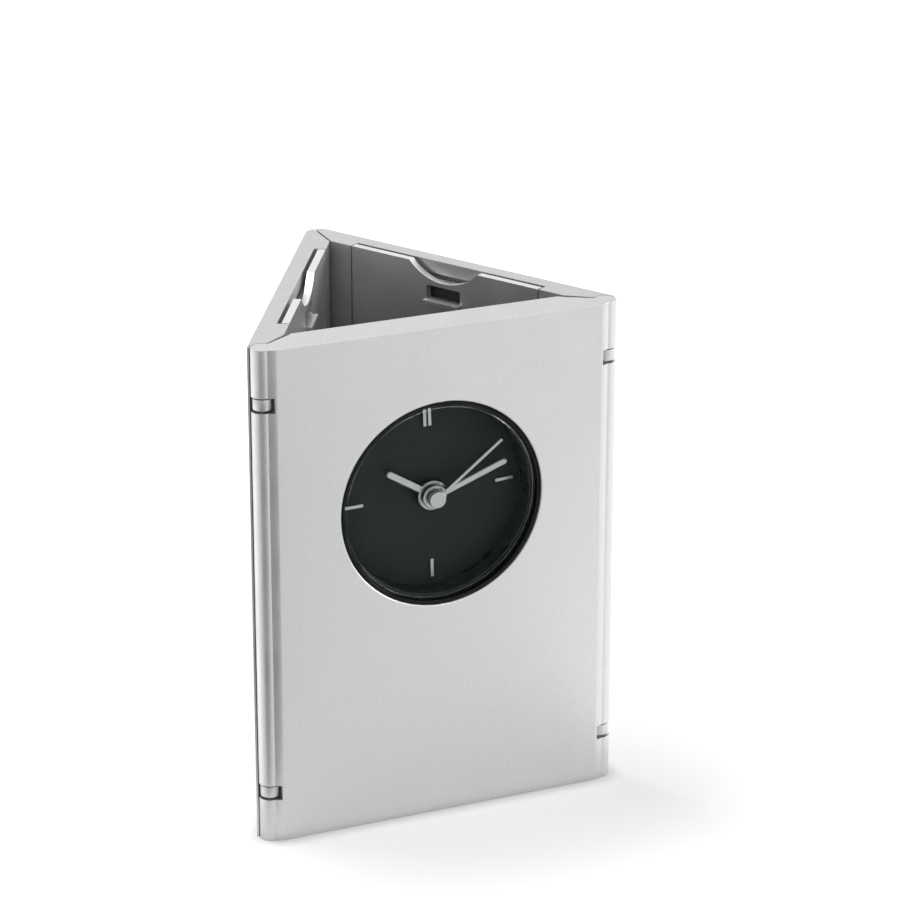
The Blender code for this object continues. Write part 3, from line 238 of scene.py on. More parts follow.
# %% [markdown]
# ## Cutting, joining and easing edges
# A moulding is easiest to describe as a full block from which pockets, holes and notches are taken. The
# cutters are surfaces made with the same helpers, so a cut is as fine as the piece. A turned disc has a
# fan of narrow faces on its flat side. They are merged into one before it is cut, or the cut would leave
# slivers that shade as streaks.
# After the cuts a Bevel modifier eases every sharp edge by a tenth or two of a millimetre. No moulded or
# cast edge is perfectly sharp, and it is the eased edge that catches the light. Weighted normals keep the
# wide faces flat.

# %% Cut, join and ease
FLAT_WITHIN = math.radians(0.3)
SHARP_OVER = math.radians(34.0)
PLATE_EASE = 0.12 * MM
METAL_EASE = 0.05 * MM


def settle(piece):
    """Apply the live modifiers, so that only a plain mesh is left."""
    bpy.context.view_layer.update()
    graph = bpy.context.evaluated_depsgraph_get()
    mesh = bpy.data.meshes.new_from_object(piece.evaluated_get(graph))
    old = piece.data
    piece.modifiers.clear()
    piece.data = mesh
    mesh.name = piece.name
    bpy.data.meshes.remove(old)
    return piece


def combine(piece, others, operation):
    """A Boolean with each of the other shapes, which are used up."""
    for other in others:
        step = piece.modifiers.new(operation, "BOOLEAN")
        step.operation = operation
        step.solver = "EXACT"
        step.object = other
    settle(piece)
    for other in others:
        bpy.data.objects.remove(other, do_unlink=True)
    return piece


def cut(piece, *others):
    """Take the other shapes away."""
    return combine(piece, others, "DIFFERENCE")


def join(piece, *others):
    """Fuse the other shapes on."""
    return combine(piece, others, "UNION")


def plain_flats(piece):
    """Merge the faces of each flat area into one, so that cuts in it leave no fan of slivers."""
    shape = bmesh.new()
    shape.from_mesh(piece.data)
    bmesh.ops.dissolve_limit(shape, angle_limit=FLAT_WITHIN, verts=shape.verts, edges=shape.edges)
    shape.to_mesh(piece.data)
    shape.free()
    return piece


def flatten(piece):
    """Let the wide faces rule the shading, so that a flat face looks flat up to its eased edge."""
    weighted = piece.modifiers.new("flat_faces", "WEIGHTED_NORMAL")
    weighted.keep_sharp = False
    weighted.weight = 90
    return settle(piece)


def ease_edges(piece, width, segments=3):
    """Round every edge where two faces turn by more than SHARP_OVER, then flatten the shading."""
    rounding = piece.modifiers.new("eased_edges", "BEVEL")
    rounding.limit_method = "ANGLE"
    rounding.angle_limit = SHARP_OVER
    rounding.width = width
    rounding.segments = segments
    rounding.miter_outer = "MITER_ARC"
    piece.data.shade_smooth()
    return flatten(piece)


# %% [markdown]
# ## Finishes
# The panels are moulded plastic under a satin silver lacquer. The lacquer is full of tiny aluminium
# flakes that lie nearly flat, so it behaves like soft metal: it mirrors the room, but blurred. Up close
# the flakes give a fine mottle, and the mottle is a little drawn out sideways.
# Each finish is one Principled shader. Noise on Object coordinates drives its colour, roughness and bump,
# so the grain keeps its real size on every piece.
# The side panels are a shade darker than the front. The upward faces of their inner covers are paler, a
# painted highlight for the light that falls on them from above.

# %% Node helpers
def start_finish(name, colour, roughness, metallic=0.0):
    """A new material with its Principled shader set to plain values."""
    finish = bpy.data.materials.new(name)
    finish.use_nodes = True
    shader = finish.node_tree.nodes["Principled BSDF"]
    shader.inputs["Base Color"].default_value = (*colour, 1.0)
    shader.inputs["Roughness"].default_value = roughness
    shader.inputs["Metallic"].default_value = metallic
    finish.diffuse_color = (*colour, 1.0)
    return finish, shader


def noise(finish, grain, detail=2.0, stretch=(1.0, 1.0, 1.0)):
    """Noise whose lumps are about one grain wide, drawn out where stretch is over 1."""
    tree = finish.node_tree
    place = tree.nodes.new("ShaderNodeTexCoord")
    mapping = tree.nodes.new("ShaderNodeMapping")
    mapping.inputs["Scale"].default_value = [1.0 / (grain * s) for s in stretch]
    lumps = tree.nodes.new("ShaderNodeTexNoise")
    lumps.inputs["Scale"].default_value = 1.0
    lumps.inputs["Detail"].default_value = detail
    tree.links.new(place.outputs["Object"], mapping.inputs["Vector"])
    tree.links.new(mapping.outputs["Vector"], lumps.inputs["Vector"])
    return lumps.outputs["Fac"]


def ranged(tree, ramp, value, given, wanted):
    """Set a Map Range node to turn the given range into the wanted one, and return its output."""
    for socket, number in zip(("From Min", "From Max", "To Min", "To Max"), (*given, *wanted)):
        ramp.inputs[socket].default_value = number
    tree.links.new(value, ramp.inputs["Value"])
    return ramp.outputs["Result"]


def spread(finish, value, low, high, from_low=0.3, from_high=0.7):
    """Noise values between from_low and from_high turned into the range low to high."""
    tree = finish.node_tree
    return ranged(tree, tree.nodes.new("ShaderNodeMapRange"), value, (from_low, from_high), (low, high))


def tint(finish, value, dark, light):
    """A colour between two others, by a value from 0 to 1."""
    mixed = finish.node_tree.nodes.new("ShaderNodeMix")
    mixed.data_type = "RGBA"
    mixed.inputs["A"].default_value = (*dark, 1.0)
    mixed.inputs["B"].default_value = (*light, 1.0)
    finish.node_tree.links.new(value, mixed.inputs["Factor"])
    return mixed.outputs["Result"]


def bump(finish, height, depth, strength=1.0):
    """A normal pushed about by a height from 0 to 1, depth metres deep."""
    relief = finish.node_tree.nodes.new("ShaderNodeBump")
    relief.inputs["Distance"].default_value = depth
    relief.inputs["Strength"].default_value = strength
    finish.node_tree.links.new(height, relief.inputs["Height"])
    return relief.outputs["Normal"]


def wire(finish, value, shader, socket):
    """Join a value to one of the shader's sockets."""
    finish.node_tree.links.new(value, shader.inputs[socket])


def wire_patterns(finish, shader, tone, colours, gloss, roughness, relief, depth, strength=0.5):
    """Join a pattern each to the colour, the roughness and the relief, with the range that it covers."""
    wire(finish, tint(finish, spread(finish, tone, 0.0, 1.0), *colours), shader, "Base Color")
    wire(finish, spread(finish, gloss, *roughness), shader, "Roughness")
    wire(finish, bump(finish, relief, depth, strength), shader, "Normal")


# %% Satin silver lacquer
def make_silver(name, dark, light):
    """Flaked lacquer: pale grey metal, softly blurred, with a fine sideways mottle."""
    finish, shader = start_finish(name, light, 0.40, 0.78)
    flakes = noise(finish, 0.22 * MM, 3.0, (2.2, 2.2, 1.0))
    cloud = noise(finish, 7.0 * MM, 2.0)
    wire_patterns(finish, shader, flakes, (dark, light), cloud, (0.37, 0.44), flakes, 0.005 * MM, 0.7)
    return finish


silver = make_silver("satin_silver", (0.565, 0.568, 0.575), (0.635, 0.635, 0.64))
side_silver = make_silver("side_satin_silver", (0.52, 0.523, 0.53), (0.585, 0.585, 0.59))
# The paler copy is a painted highlight for the inner covers' upward faces, where light from above falls.
painted_highlight_silver = make_silver("pale_edge_silver", (0.70, 0.703, 0.71), (0.77, 0.77, 0.775))

# %% [markdown]
# The clock's case is a glossy black moulding. Gloss is never perfectly even, so a slow noise dulls it a
# little in patches. The dial is printed in a matt, slightly green black, and its grain is finer still.
# The wall between the lens and the dial mirrors the dial softly, so it is rougher than the case, and its
# paler, green colour is a painted reflection of the dial.

# %% Black plastics and the dial
def make_plastic(name, dark, light, roughness, grain, depth, shine=0.5):
    """Moulded plastic: two close colours, a range of roughness and a faint texture from the mould."""
    finish, shader = start_finish(name, dark, roughness[0])
    shader.inputs["Specular IOR Level"].default_value = shine
    patches = noise(finish, 5.0 * MM, 3.0)
    skin = noise(finish, grain, 2.0)
    wire_patterns(finish, shader, patches, (dark, light), patches, roughness, skin, depth)
    return finish


gloss_black = make_plastic("gloss_black", (0.0035, 0.0050, 0.0050), (0.0055, 0.0075, 0.0070), (0.12, 0.18),
                           0.8 * MM, 0.0004 * MM, 0.14)
case_black = make_plastic("case_black", (0.010, 0.012, 0.012), (0.016, 0.018, 0.018), (0.34, 0.46),
                          0.25 * MM, 0.010 * MM)
dial_black = make_plastic("dial_black", (0.0108, 0.0162, 0.0160), (0.0126, 0.0188, 0.0182), (0.50, 0.58),
                          0.12 * MM, 0.001 * MM, 0.10)
nylon = make_plastic("white_nylon", (0.66, 0.65, 0.60), (0.74, 0.73, 0.69), (0.42, 0.55), 0.4 * MM,
                     0.010 * MM)
rubber = make_plastic("black_rubber", (0.014, 0.014, 0.014), (0.024, 0.024, 0.024), (0.70, 0.85),
                      0.2 * MM, 0.020 * MM)
laminate = make_plastic("circuit_laminate", (0.012, 0.075, 0.034), (0.018, 0.105, 0.050), (0.35, 0.5),
                        0.3 * MM, 0.008 * MM)
# The chamber wall's paler green is a painted reflection of the dial.
smoked_wall = make_plastic("smoked_wall", (0.0150, 0.0220, 0.0212), (0.0172, 0.0250, 0.0240), (0.26, 0.29),
                           0.5 * MM, 0.0004 * MM, 0.2)

# %% [markdown]
# The two picture cards are blank stock, pale on the side that faces the window and dark on the side that
# faces the well. One material does both: the card's own normal, in its own frame, says which side it is.

# %% Card stock with a dark back
def make_card():
    """Fibrous card, pale where its own normal points out of the holder and dark where it faces the well."""
    finish, shader = start_finish("card_stock", (0.50, 0.50, 0.49), 0.70)
    tree = finish.node_tree
    place = tree.nodes.new("ShaderNodeTexCoord")
    parts = tree.nodes.new("ShaderNodeSeparateXYZ")
    tree.links.new(place.outputs["Normal"], parts.inputs["Vector"])
    outside = spread(finish, parts.outputs["Y"], 0.0, 1.0, -0.2, 0.1)
    fibres = noise(finish, 0.10 * MM, 3.0, (4.0, 4.0, 1.0))
    pale = tint(finish, spread(finish, fibres, 0.0, 1.0), (0.44, 0.44, 0.43), (0.52, 0.52, 0.51))
    dark = tint(finish, spread(finish, fibres, 0.0, 1.0), (0.012, 0.012, 0.012), (0.022, 0.022, 0.021))
    both = tint(finish, outside, (0.0, 0.0, 0.0), (1.0, 1.0, 1.0))
    mixed = both.node
    tree.links.new(dark, mixed.inputs["A"])
    tree.links.new(pale, mixed.inputs["B"])
    wire(finish, both, shader, "Base Color")
    wire(finish, spread(finish, fibres, 0.62, 0.80), shader, "Roughness")
    wire(finish, bump(finish, fibres, 0.010 * MM, 0.5), shader, "Normal")
    return finish


card_stock = make_card()

# %% [markdown]
# Small metal parts are stamped, turned or wound. Their finish differs mostly in colour and in the length
# of the marks that the tool left: turned parts show fine rings, stamped ones short scratches.

# %% Metals
def make_metal(name, dark, light, roughness, grain, stretch):
    """Plain metal with drawn-out tool marks in its colour, roughness and relief."""
    finish, shader = start_finish(name, light, roughness[0], 1.0)
    marks = noise(finish, grain, 3.0, stretch)
    wire_patterns(finish, shader, marks, (dark, light), marks, roughness, marks, 0.002 * MM)
    return finish


steel = make_metal("plain_steel", (0.46, 0.46, 0.47), (0.58, 0.58, 0.59), (0.24, 0.38), 0.10 * MM,
                   (6, 1, 1))
brass = make_metal("rolled_brass", (0.55, 0.40, 0.18), (0.70, 0.53, 0.26), (0.25, 0.38), 0.10 * MM,
                   (1, 1, 5))
copper = make_metal("enamelled_wire", (0.36, 0.11, 0.05), (0.52, 0.20, 0.09), (0.30, 0.42), 0.06 * MM,
                    (12, 12, 1))
bright = make_metal("hand_silver", (0.295, 0.30, 0.297), (0.34, 0.345, 0.34), (0.28, 0.38), 0.12 * MM,
                    (3, 1, 3))

# %% [markdown]
# The lens and the window sheets are cut from clear acrylic. A path tracer finds it hard to send lamp
# light through glass, and the dial behind would go dark. So shadow rays pass straight through, while the
# camera sees a clear body with a slight green tint.
# The body hardly bends the view and its flat faces mirror nothing, because rare bright mirror rays would
# leave grain on the dark dial. The lens's polished rim has a clear coat over it, which mirrors the room.

# %% Clear acrylic
BODY_IOR = 1.015
COAT_IOR = 1.8
COAT_ROUGHNESS = 0.01


def make_clear(name, colour, coat):
    """A clear body for the camera and plain air for shadow rays, with a mirroring coat from 0 to 1."""
    finish, shader = start_finish(name, colour, 0.0)
    shader.inputs["Transmission Weight"].default_value = 1.0
    shader.inputs["IOR"].default_value = BODY_IOR
    shader.inputs["Coat Weight"].default_value = coat
    shader.inputs["Coat Roughness"].default_value = COAT_ROUGHNESS
    shader.inputs["Coat IOR"].default_value = COAT_IOR
    smears = noise(finish, 3.0 * MM, 3.0)
    wire(finish, spread(finish, smears, 0.0, 0.012), shader, "Roughness")
    tree = finish.node_tree
    path = tree.nodes.new("ShaderNodeLightPath")
    air = tree.nodes.new("ShaderNodeBsdfTransparent")
    choice = tree.nodes.new("ShaderNodeMixShader")
    tree.links.new(path.outputs["Is Shadow Ray"], choice.inputs["Fac"])
    tree.links.new(shader.outputs["BSDF"], choice.inputs[1])
    tree.links.new(air.outputs["BSDF"], choice.inputs[2])
    tree.links.new(choice.outputs["Shader"], tree.nodes["Material Output"].inputs["Surface"])
    return finish


clear_acrylic = make_clear("clear_acrylic", (0.95, 0.97, 0.965), 0.0)
polished_rim = make_clear("polished_rim", (0.90, 0.95, 0.94), 1.0)

# %% [markdown]
# A finished piece gets its finish, the body that carries it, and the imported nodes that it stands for.
# Some pieces have a second finish on a few of their faces, which a test picks out.

# %% Dress a piece
def dress(piece, finish, body, slot, *nodes):
    """Give a piece its finish and its body, and hide the nodes it stands for. The slot is not used."""
    piece.data.materials.clear()
    piece.data.materials.append(finish)
    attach(piece, body)
    if nodes:
        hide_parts(*nodes)
    print(piece.name, len(piece.data.polygons), "faces")
    return piece


def second_finish(piece, finish, picked):
    """Give another finish to the faces that a test picks."""
    piece.data.materials.append(finish)
    for face in piece.data.polygons:
        if picked(face):
            face.material_index = 1
    print(piece.name, "also has", finish.name)


# %% [markdown]
# ## Front panel
# In plan the front panel is a flat slab that ends in a round bead on each side. A shallow cove runs beside
# the bead and meets it in a crease, and behind the bead the slab falls back in a bevel that leaves room
# for the side panel. The bead is the hinge: a pin runs up its centre.
# One end is worked out about its hinge axis, and the other is its mirror image.

# %% Front panel in plan
BEAD_RADIUS = 2.15 * MM
CREASE = 0.3 * MM
COVE_WIDTH = 1.7 * MM
COVE_SAG = -0.11 * MM
AXIS_DEPTH = AXIS_Y - FRONT_Y
BEAD_END_ANGLE = math.radians(38.0)
BEVEL_SLOPE = math.radians(29.8)
BEVEL_EASE = 0.6 * MM
BEAD_STEPS = 72
COVE_STEPS = 10


def cove_points(crease_point, face_point):
    """A bowed line from the bead's crease to the flat face: straight, plus a parabola 4 s t(1-t) high.

    The bow meets the face nearly flush and falls steepest at the crease.
    """
    t = np.linspace(0.0, 1.0, COVE_STEPS + 1)[:, None]
    line = (1.0 - t) * crease_point + t * face_point
    return line + np.array([0.0, COVE_SAG]) * 4.0 * t * (1.0 - t)


def front_plan():
    """The front panel's outline seen from above."""
    crease_angle = math.acos(CREASE / BEAD_RADIUS)
    bead = arc(BEAD_RADIUS, -crease_angle, BEAD_END_ANGLE - math.tau, BEAD_STEPS)
    cove = cove_points(bead[0], np.array([CREASE + COVE_WIDTH, -AXIS_DEPTH]))[::-1]
    inner = FRONT_THICKNESS - AXIS_DEPTH
    run = bead[-1, 0] + (inner - BEVEL_EASE - bead[-1, 1]) / math.tan(BEVEL_SLOPE)
    half = np.concatenate([cove[:-1], bead, [(run, inner - BEVEL_EASE), (run + BEVEL_EASE, inner)]])
    left = half + (-HALF_SPAN, AXIS_Y)
    return np.concatenate([left, left[::-1] * (-1.0, 1.0)])


# %% [markdown]
# Two notches on each side interrupt the bead. A short knuckle of the side panel sits in each, so the notch
# is hollowed a little wider than the knuckle's sweep. The clock's opening is cut through the front wall,
# and the hollow behind it leaves an even wall, as a moulding needs.

# %% Notches, opening and hollow
NOTCH_FROM_FOOT = 8.65 * MM
NOTCH_FROM_TOP = 9.4 * MM
NOTCH_HEIGHT = 2.95 * MM
NOTCH_REACH = 1.55 * MM
KNUCKLE_RADIUS = 1.93 * MM
NOTCH_LOWS = (NOTCH_FROM_FOOT, HEIGHT - NOTCH_FROM_TOP - NOTCH_HEIGHT)
PIN_RADIUS = 0.5 * MM
PIN_LENGTH = 12.0 * MM
FRONT_WALL = 1.6 * MM
END_WALL = 1.8 * MM
FLANGE_REACH = 0.8 * MM
CASE_BODY_RADIUS = radius_of("clock_case") - FLANGE_REACH
OPENING_RADIUS = CASE_BODY_RADIUS - 1.0 * MM
CAVITY_HALF_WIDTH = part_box("front_back_cover")[1].x + CLEAR
CHAMFER_WIDTH = 0.28 * MM
CHAMFER_SLOPE = math.radians(22.0)


def notch_plan(side):
    """A notch seen from above: cut through the bead and hollowed round the knuckle."""
    sweep = KNUCKLE_RADIUS + CLEAR
    opening = math.acos(NOTCH_REACH / sweep)
    far = BEAD_RADIUS + PAST
    front = -AXIS_DEPTH - PAST
    shape = np.concatenate([[(-far, front), (NOTCH_REACH, front)], arc(sweep, -opening, opening, 24),
                            [(NOTCH_REACH, far), (-far, far)]])
    return shape * (side, 1.0) + (-side * HALF_SPAN, AXIS_Y)


def front_cutters():
    """Everything taken from the front slab: hollow, clock opening, notches and pin bores."""
    hollow = rectangle(-CAVITY_HALF_WIDTH, CAVITY_HALF_WIDTH, FRONT_Y + FRONT_WALL,
                       FRONT_Y + FRONT_THICKNESS + PAST)
    opening = circle(OPENING_RADIUS, 2 * TURN_STEPS)
    shapes = [drawn("hollow", hollow, END_WALL, HEIGHT - END_WALL, in_plan),
              drawn("opening", opening, -PAST, FRONT_WALL + PAST, clock_frame)]
    for side in (1, -1):
        for low in NOTCH_LOWS:
            middle = low + NOTCH_HEIGHT / 2.0
            half = PIN_LENGTH / 2.0 + CLEAR
            bore = circle(PIN_RADIUS + RUNNING, 32, (-side * HALF_SPAN, AXIS_Y))
            shapes.append(drawn("notch", notch_plan(side), low, low + NOTCH_HEIGHT, in_plan))
            shapes.append(drawn("bore", bore, middle - half, middle + half, in_plan))
    return shapes


# %% [markdown]
# The shell's edges are eased first, and only then does the clock's opening get its chamfer. The Bevel
# modifier narrows all its roundings to what the closest edges allow, so a chamfer that was already there
# would sharpen the whole panel.

# %% Front shell
EDGE_EASE = 0.22 * MM
front_shell = cut(drawn("front_panel_shell", front_plan(), 0.0, HEIGHT, in_plan), *front_cutters())
ease_edges(front_shell, EDGE_EASE)
chamfer_end = CHAMFER_WIDTH * math.tan(CHAMFER_SLOPE)
chamfer_reach = OPENING_RADIUS + CHAMFER_WIDTH + PAST / math.tan(CHAMFER_SLOPE)
cut(front_shell, turned("chamfer", [(0.0, -PAST), (chamfer_reach, -PAST), (OPENING_RADIUS, chamfer_end),
                                    (0.0, chamfer_end)], steps=2 * TURN_STEPS))
flatten(front_shell)
dress(front_shell, silver, "front_panel", "silver", "front_shell")

# %% [markdown]
# The back cover closes the hollow from the well side. Four screws hold it, sunk flush in their seats, and
# each screw is a turned head with a slot across it.

# %% Back cover and its screws
COVER_THICKNESS = 1.5 * MM
COVER_FACE = FRONT_THICKNESS - COVER_THICKNESS
COVER_CORNER = 0.5 * MM
SCREW_RADIUS = 0.7 * MM
SCREW_LENGTH = 4.2 * MM
HEAD_RADIUS = 1.6 * MM
HEAD_DEPTH = 0.7 * MM
HEAD_SEAT = FRONT_THICKNESS - HEAD_DEPTH - CLEAR
SCREW_SLOT = 0.4 * MM
SCREW_SLOT_DEPTH = 0.3 * MM
BEYOND_COVER = FRONT_THICKNESS + PAST
cover_low, cover_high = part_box("front_back_cover")
screws = {number: middle_of(f"cover_screw_{number}") for number in range(1, 5)}

cover_plan = eased(rectangle(cover_low.x, cover_high.x, cover_low.z - CLOCK[2], cover_high.z - CLOCK[2]),
                   COVER_CORNER)
cover = drawn("back_cover_plate", cover_plan, COVER_FACE, FRONT_THICKNESS, clock_frame)
holes = [drawn("hole", circle(CASE_BODY_RADIUS + CLEAR, TURN_STEPS), 0.0, BEYOND_COVER, clock_frame)]
for spot in screws.values():
    shaft = circle(SCREW_RADIUS + CLEAR, 32, spot)
    head = circle(HEAD_RADIUS + CLEAR, 64, spot)
    holes.append(drawn("shaft", shaft, 0.0, BEYOND_COVER, clock_frame))
    holes.append(drawn("head", head, HEAD_SEAT - CLEAR, BEYOND_COVER, clock_frame))
cut(cover, *holes)
ease_edges(cover, PLATE_EASE)
dress(cover, silver, "front_panel", "silver", "front_back_cover")

top = HEAD_SEAT + HEAD_DEPTH
screw_profile = eased([(0.0, HEAD_SEAT - SCREW_LENGTH), (SCREW_RADIUS, HEAD_SEAT - SCREW_LENGTH),
                       (SCREW_RADIUS, HEAD_SEAT), (HEAD_RADIUS, HEAD_SEAT), (HEAD_RADIUS, top), (0.0, top)],
                      (0.0, 0.1 * MM, 0.0, 0.1 * MM, 0.2 * MM, 0.0))
for number, spot in screws.items():
    screw = turned(f"screw_{number}", screw_profile, spot, 48)
    slot = rectangle(spot[0] - 2.0 * HEAD_RADIUS, spot[0] + 2.0 * HEAD_RADIUS,
                     spot[1] - SCREW_SLOT / 2.0, spot[1] + SCREW_SLOT / 2.0)
    cut(plain_flats(screw), drawn("slot", slot, top - SCREW_SLOT_DEPTH, top + PAST, clock_frame))
    ease_edges(screw, METAL_EASE, 2)
    dress(screw, steel, "front_panel", "steel", f"cover_screw_{number}")

# %% [markdown]
# ## Side panels
# A side panel is a picture frame seen on edge. Its front end wraps round the bead of the front panel with
# a thin lip, and its rear end runs to a rounded nose and a mitre, where the two panels meet. The knuckles
# reach through the notches. The slot between the outer wall and the inner cover is open at the top.

# %% Side panel in plan
SIDE_SKIN = 2.65 * MM
SIDE_THICKNESS = 5.65 * MM
SIDE_INNER = SIDE_SKIN - SIDE_THICKNESS
WRAP_RADIUS = 2.30 * MM
SIDE_LIP = 0.4 * MM
SIDE_BEVEL_ANGLE = math.radians(46.0)
SIDE_BEVEL_SLOPE = math.radians(24.4)
SIDE_BEVEL_EASE = 0.9 * MM
SIDE_BEVEL_RISE = 0.4 * MM
NOSE_RADIUS = 2.7 * MM
MITRE_GAP = 0.2 * MM
KNUCKLE_FLAT = 1.25 * MM
KNUCKLE_ARM_REACH = 3.2 * MM
KNUCKLE_ARM_FOOT = 0.55 * MM
KNUCKLE_ABOVE = 0.3 * MM
KNUCKLE_BELOW = 0.5 * MM


def side_plan():
    """A side panel's outline in its own frame, along X from the hinge axis."""
    sine, cosine = math.sin(CLOSED), math.cos(CLOSED)
    nose_y = SIDE_SKIN - NOSE_RADIUS
    nose_x = (HALF_SPAN + nose_y * sine) / cosine
    nose_end = math.pi / 2.0 + math.asin(MITRE_GAP / NOSE_RADIUS) - CLOSED
    mitre_x = (HALF_SPAN - MITRE_GAP + SIDE_INNER * sine) / cosine
    wrap = arc(WRAP_RADIUS, SIDE_BEVEL_ANGLE - CLOSED, math.acos(-SIDE_LIP / WRAP_RADIUS), 40)
    bevel_end = SIDE_INNER + SIDE_BEVEL_RISE
    run = wrap[0, 0] + (wrap[0, 1] - bevel_end) / math.tan(SIDE_BEVEL_SLOPE)
    nose = arc(NOSE_RADIUS, math.pi / 2.0, nose_end, 32, (nose_x, nose_y))
    inner_face = [(mitre_x, SIDE_INNER), (run + SIDE_BEVEL_EASE, SIDE_INNER), (run, bevel_end)]
    return np.concatenate([[(-SIDE_LIP, SIDE_SKIN)], nose, inner_face, wrap])


def knuckle_plan():
    """A knuckle about the hinge axis: round, with a flat where it clears the front panel, and its arm."""
    half_flat = math.acos(KNUCKLE_FLAT / KNUCKLE_RADIUS)
    foot_x = (KNUCKLE_FLAT - KNUCKLE_ARM_FOOT * math.sin(CLOSED)) / math.cos(CLOSED)
    return np.concatenate([[(KNUCKLE_ARM_REACH, -KNUCKLE_ARM_FOOT), (foot_x, -KNUCKLE_ARM_FOOT)],
                           arc(KNUCKLE_RADIUS, -CLOSED - half_flat, -1.5 * math.pi, 48),
                           [(KNUCKLE_ARM_REACH, KNUCKLE_RADIUS)]])


# %% [markdown]
# The pocket, the window and the slot are described as boxes in the panel's own frame: how far along the
# panel, how deep below its outer face, and how high. Both panels are drawn in that one frame, and the side
# they are made for turns it to their place, so left and right are always alike.

# %% Pocket, window and inner cover sizes
TAB_LENGTH = 13.4 * MM
POCKET_FROM_MITRE = 4.94 * MM
MITRE_END = (HALF_SPAN - MITRE_GAP + SIDE_INNER * math.sin(CLOSED)) / math.cos(CLOSED)
POCKET_END = MITRE_END - POCKET_FROM_MITRE
POCKET_MIDDLE = (TAB_LENGTH + POCKET_END) / 2.0
POCKET_FLOOR = 4.0 * MM
SLOT_DEPTH = 3.3 * MM
SLOT_END = SLOT_DEPTH + 0.85 * MM
WINDOW_RIM = 2.6 * MM
WINDOW_WALL = 1.9 * MM
WINDOW_LAP = 2.5 * MM
WINDOW_LAP_END = 5.0 * MM
THUMB_WIDTH = 16.6 * MM
THUMB_DEPTH = 3.5 * MM
CATCH_WIDTH = 8.2 * MM
CATCH_HEIGHT = 2.8 * MM
CATCH_TOP = HEIGHT - 4.35 * MM
LEDGE_REACH = 1.25 * MM
LEDGE_HEIGHT = 0.8 * MM
MAGNET_RADIUS = 1.8 * MM
MAGNET_LENGTH = 1.6 * MM
UPRIGHT = (0, 2, 1)


def drawn_in_panel(name, side, outline, low, high, order=(0, 1, 2)):
    """A plan drawn up in a side panel's frame or, in UPRIGHT order, a face drawn through the panel."""
    return drawn(name, outline, low, high, lambda points: side_frame(points[:, order], side))


def side_box(name, side, along, depth, height, radius=0.0):
    """A box in a side panel. With a radius, the corners that show from outside are eased by it."""
    inner, outer = SIDE_SKIN - depth[1], SIDE_SKIN - depth[0]
    if radius:
        return drawn_in_panel(name, side, eased(rectangle(*along, *height), radius), inner, outer, UPRIGHT)
    return drawn_in_panel(name, side, rectangle(*along, inner, outer), *height)


# %% [markdown]
# A side frame is its plan drawn up to full height. The knuckles are fused on before anything is cut, so
# the pin's bore runs through frame and knuckle in one go. Seats for two small magnets go into the mitred
# rear edge, where they hold the closed triangle together.

# %% Side frames
WINDOW_CORNER = 1.2 * MM
FRAME_EASE = 0.14 * MM


def side_frame_cutters(side, word):
    """Pocket, window seat, window and the two magnets' seats of one side panel."""
    past = SIDE_THICKNESS + PAST
    seat = (TAB_LENGTH + WINDOW_RIM, POCKET_END - WINDOW_RIM)
    seat_height = (POCKET_FLOOR + WINDOW_RIM, HEIGHT - WINDOW_RIM)
    window = (seat[0] + WINDOW_LAP, seat[1] - WINDOW_LAP)
    window_height = (seat_height[0] + WINDOW_LAP_END, seat_height[1] - WINDOW_LAP_END)
    shapes = [side_box("pocket", side, (TAB_LENGTH, POCKET_END), (SLOT_DEPTH, past),
                       (POCKET_FLOOR, HEIGHT + PAST)),
              side_box("seat", side, seat, (WINDOW_WALL, past), seat_height),
              side_box("window", side, window, (-PAST, past), window_height, WINDOW_CORNER)]
    for place in ("lower", "upper"):
        low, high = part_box(f"{word}_{place}_magnet")
        centre = ((low.y + high.y) / 2.0, (low.z + high.z) / 2.0)
        reach = sorted((-side * (MITRE_GAP + 2.0 * CLEAR + MAGNET_LENGTH), side * PAST))
        ring = circle(MAGNET_RADIUS + CLEAR, 48, centre)
        print(word, place, "magnet at", [round(value, 4) for value in centre])
        shapes.append(drawn("magnet_seat", ring, *reach, lambda points: points[:, [2, 0, 1]]))
    return shapes


def make_side_frame(side, word):
    """Outline drawn up the full height, knuckles fused on, pocket and window cut, edges eased."""
    panel = drawn_in_panel(f"{word}_panel_frame", side, side_plan(), 0.0, HEIGHT)
    knuckles = [drawn_in_panel("knuckle", side, knuckle_plan(), low + KNUCKLE_BELOW,
                               low + NOTCH_HEIGHT - KNUCKLE_ABOVE) for low in NOTCH_LOWS]
    bores = [drawn_in_panel("bore", side, circle(PIN_RADIUS + RUNNING, 32), low - PAST,
                            low + NOTCH_HEIGHT + PAST) for low in NOTCH_LOWS]
    join(panel, *knuckles)
    cut(panel, *side_frame_cutters(side, word), *bores)
    ease_edges(panel, FRAME_EASE)
    return dress(panel, side_silver, f"{word}_panel", "silver", f"{word}_frame")


# %% [markdown]
# The inner cover closes the frame on the well side. Its thumb notch is a shallow piece of a large circle,
# whose radius follows from how wide and deep it is: half the width squared plus the depth squared, over
# twice the depth. Its upward faces take a paler copy of the lacquer, a painted highlight for the light
# that falls on them from above.

# %% Inner covers
COVER_EASE = 0.10 * MM
CATCH_CORNER = 0.4 * MM
FACES_UP = 0.5


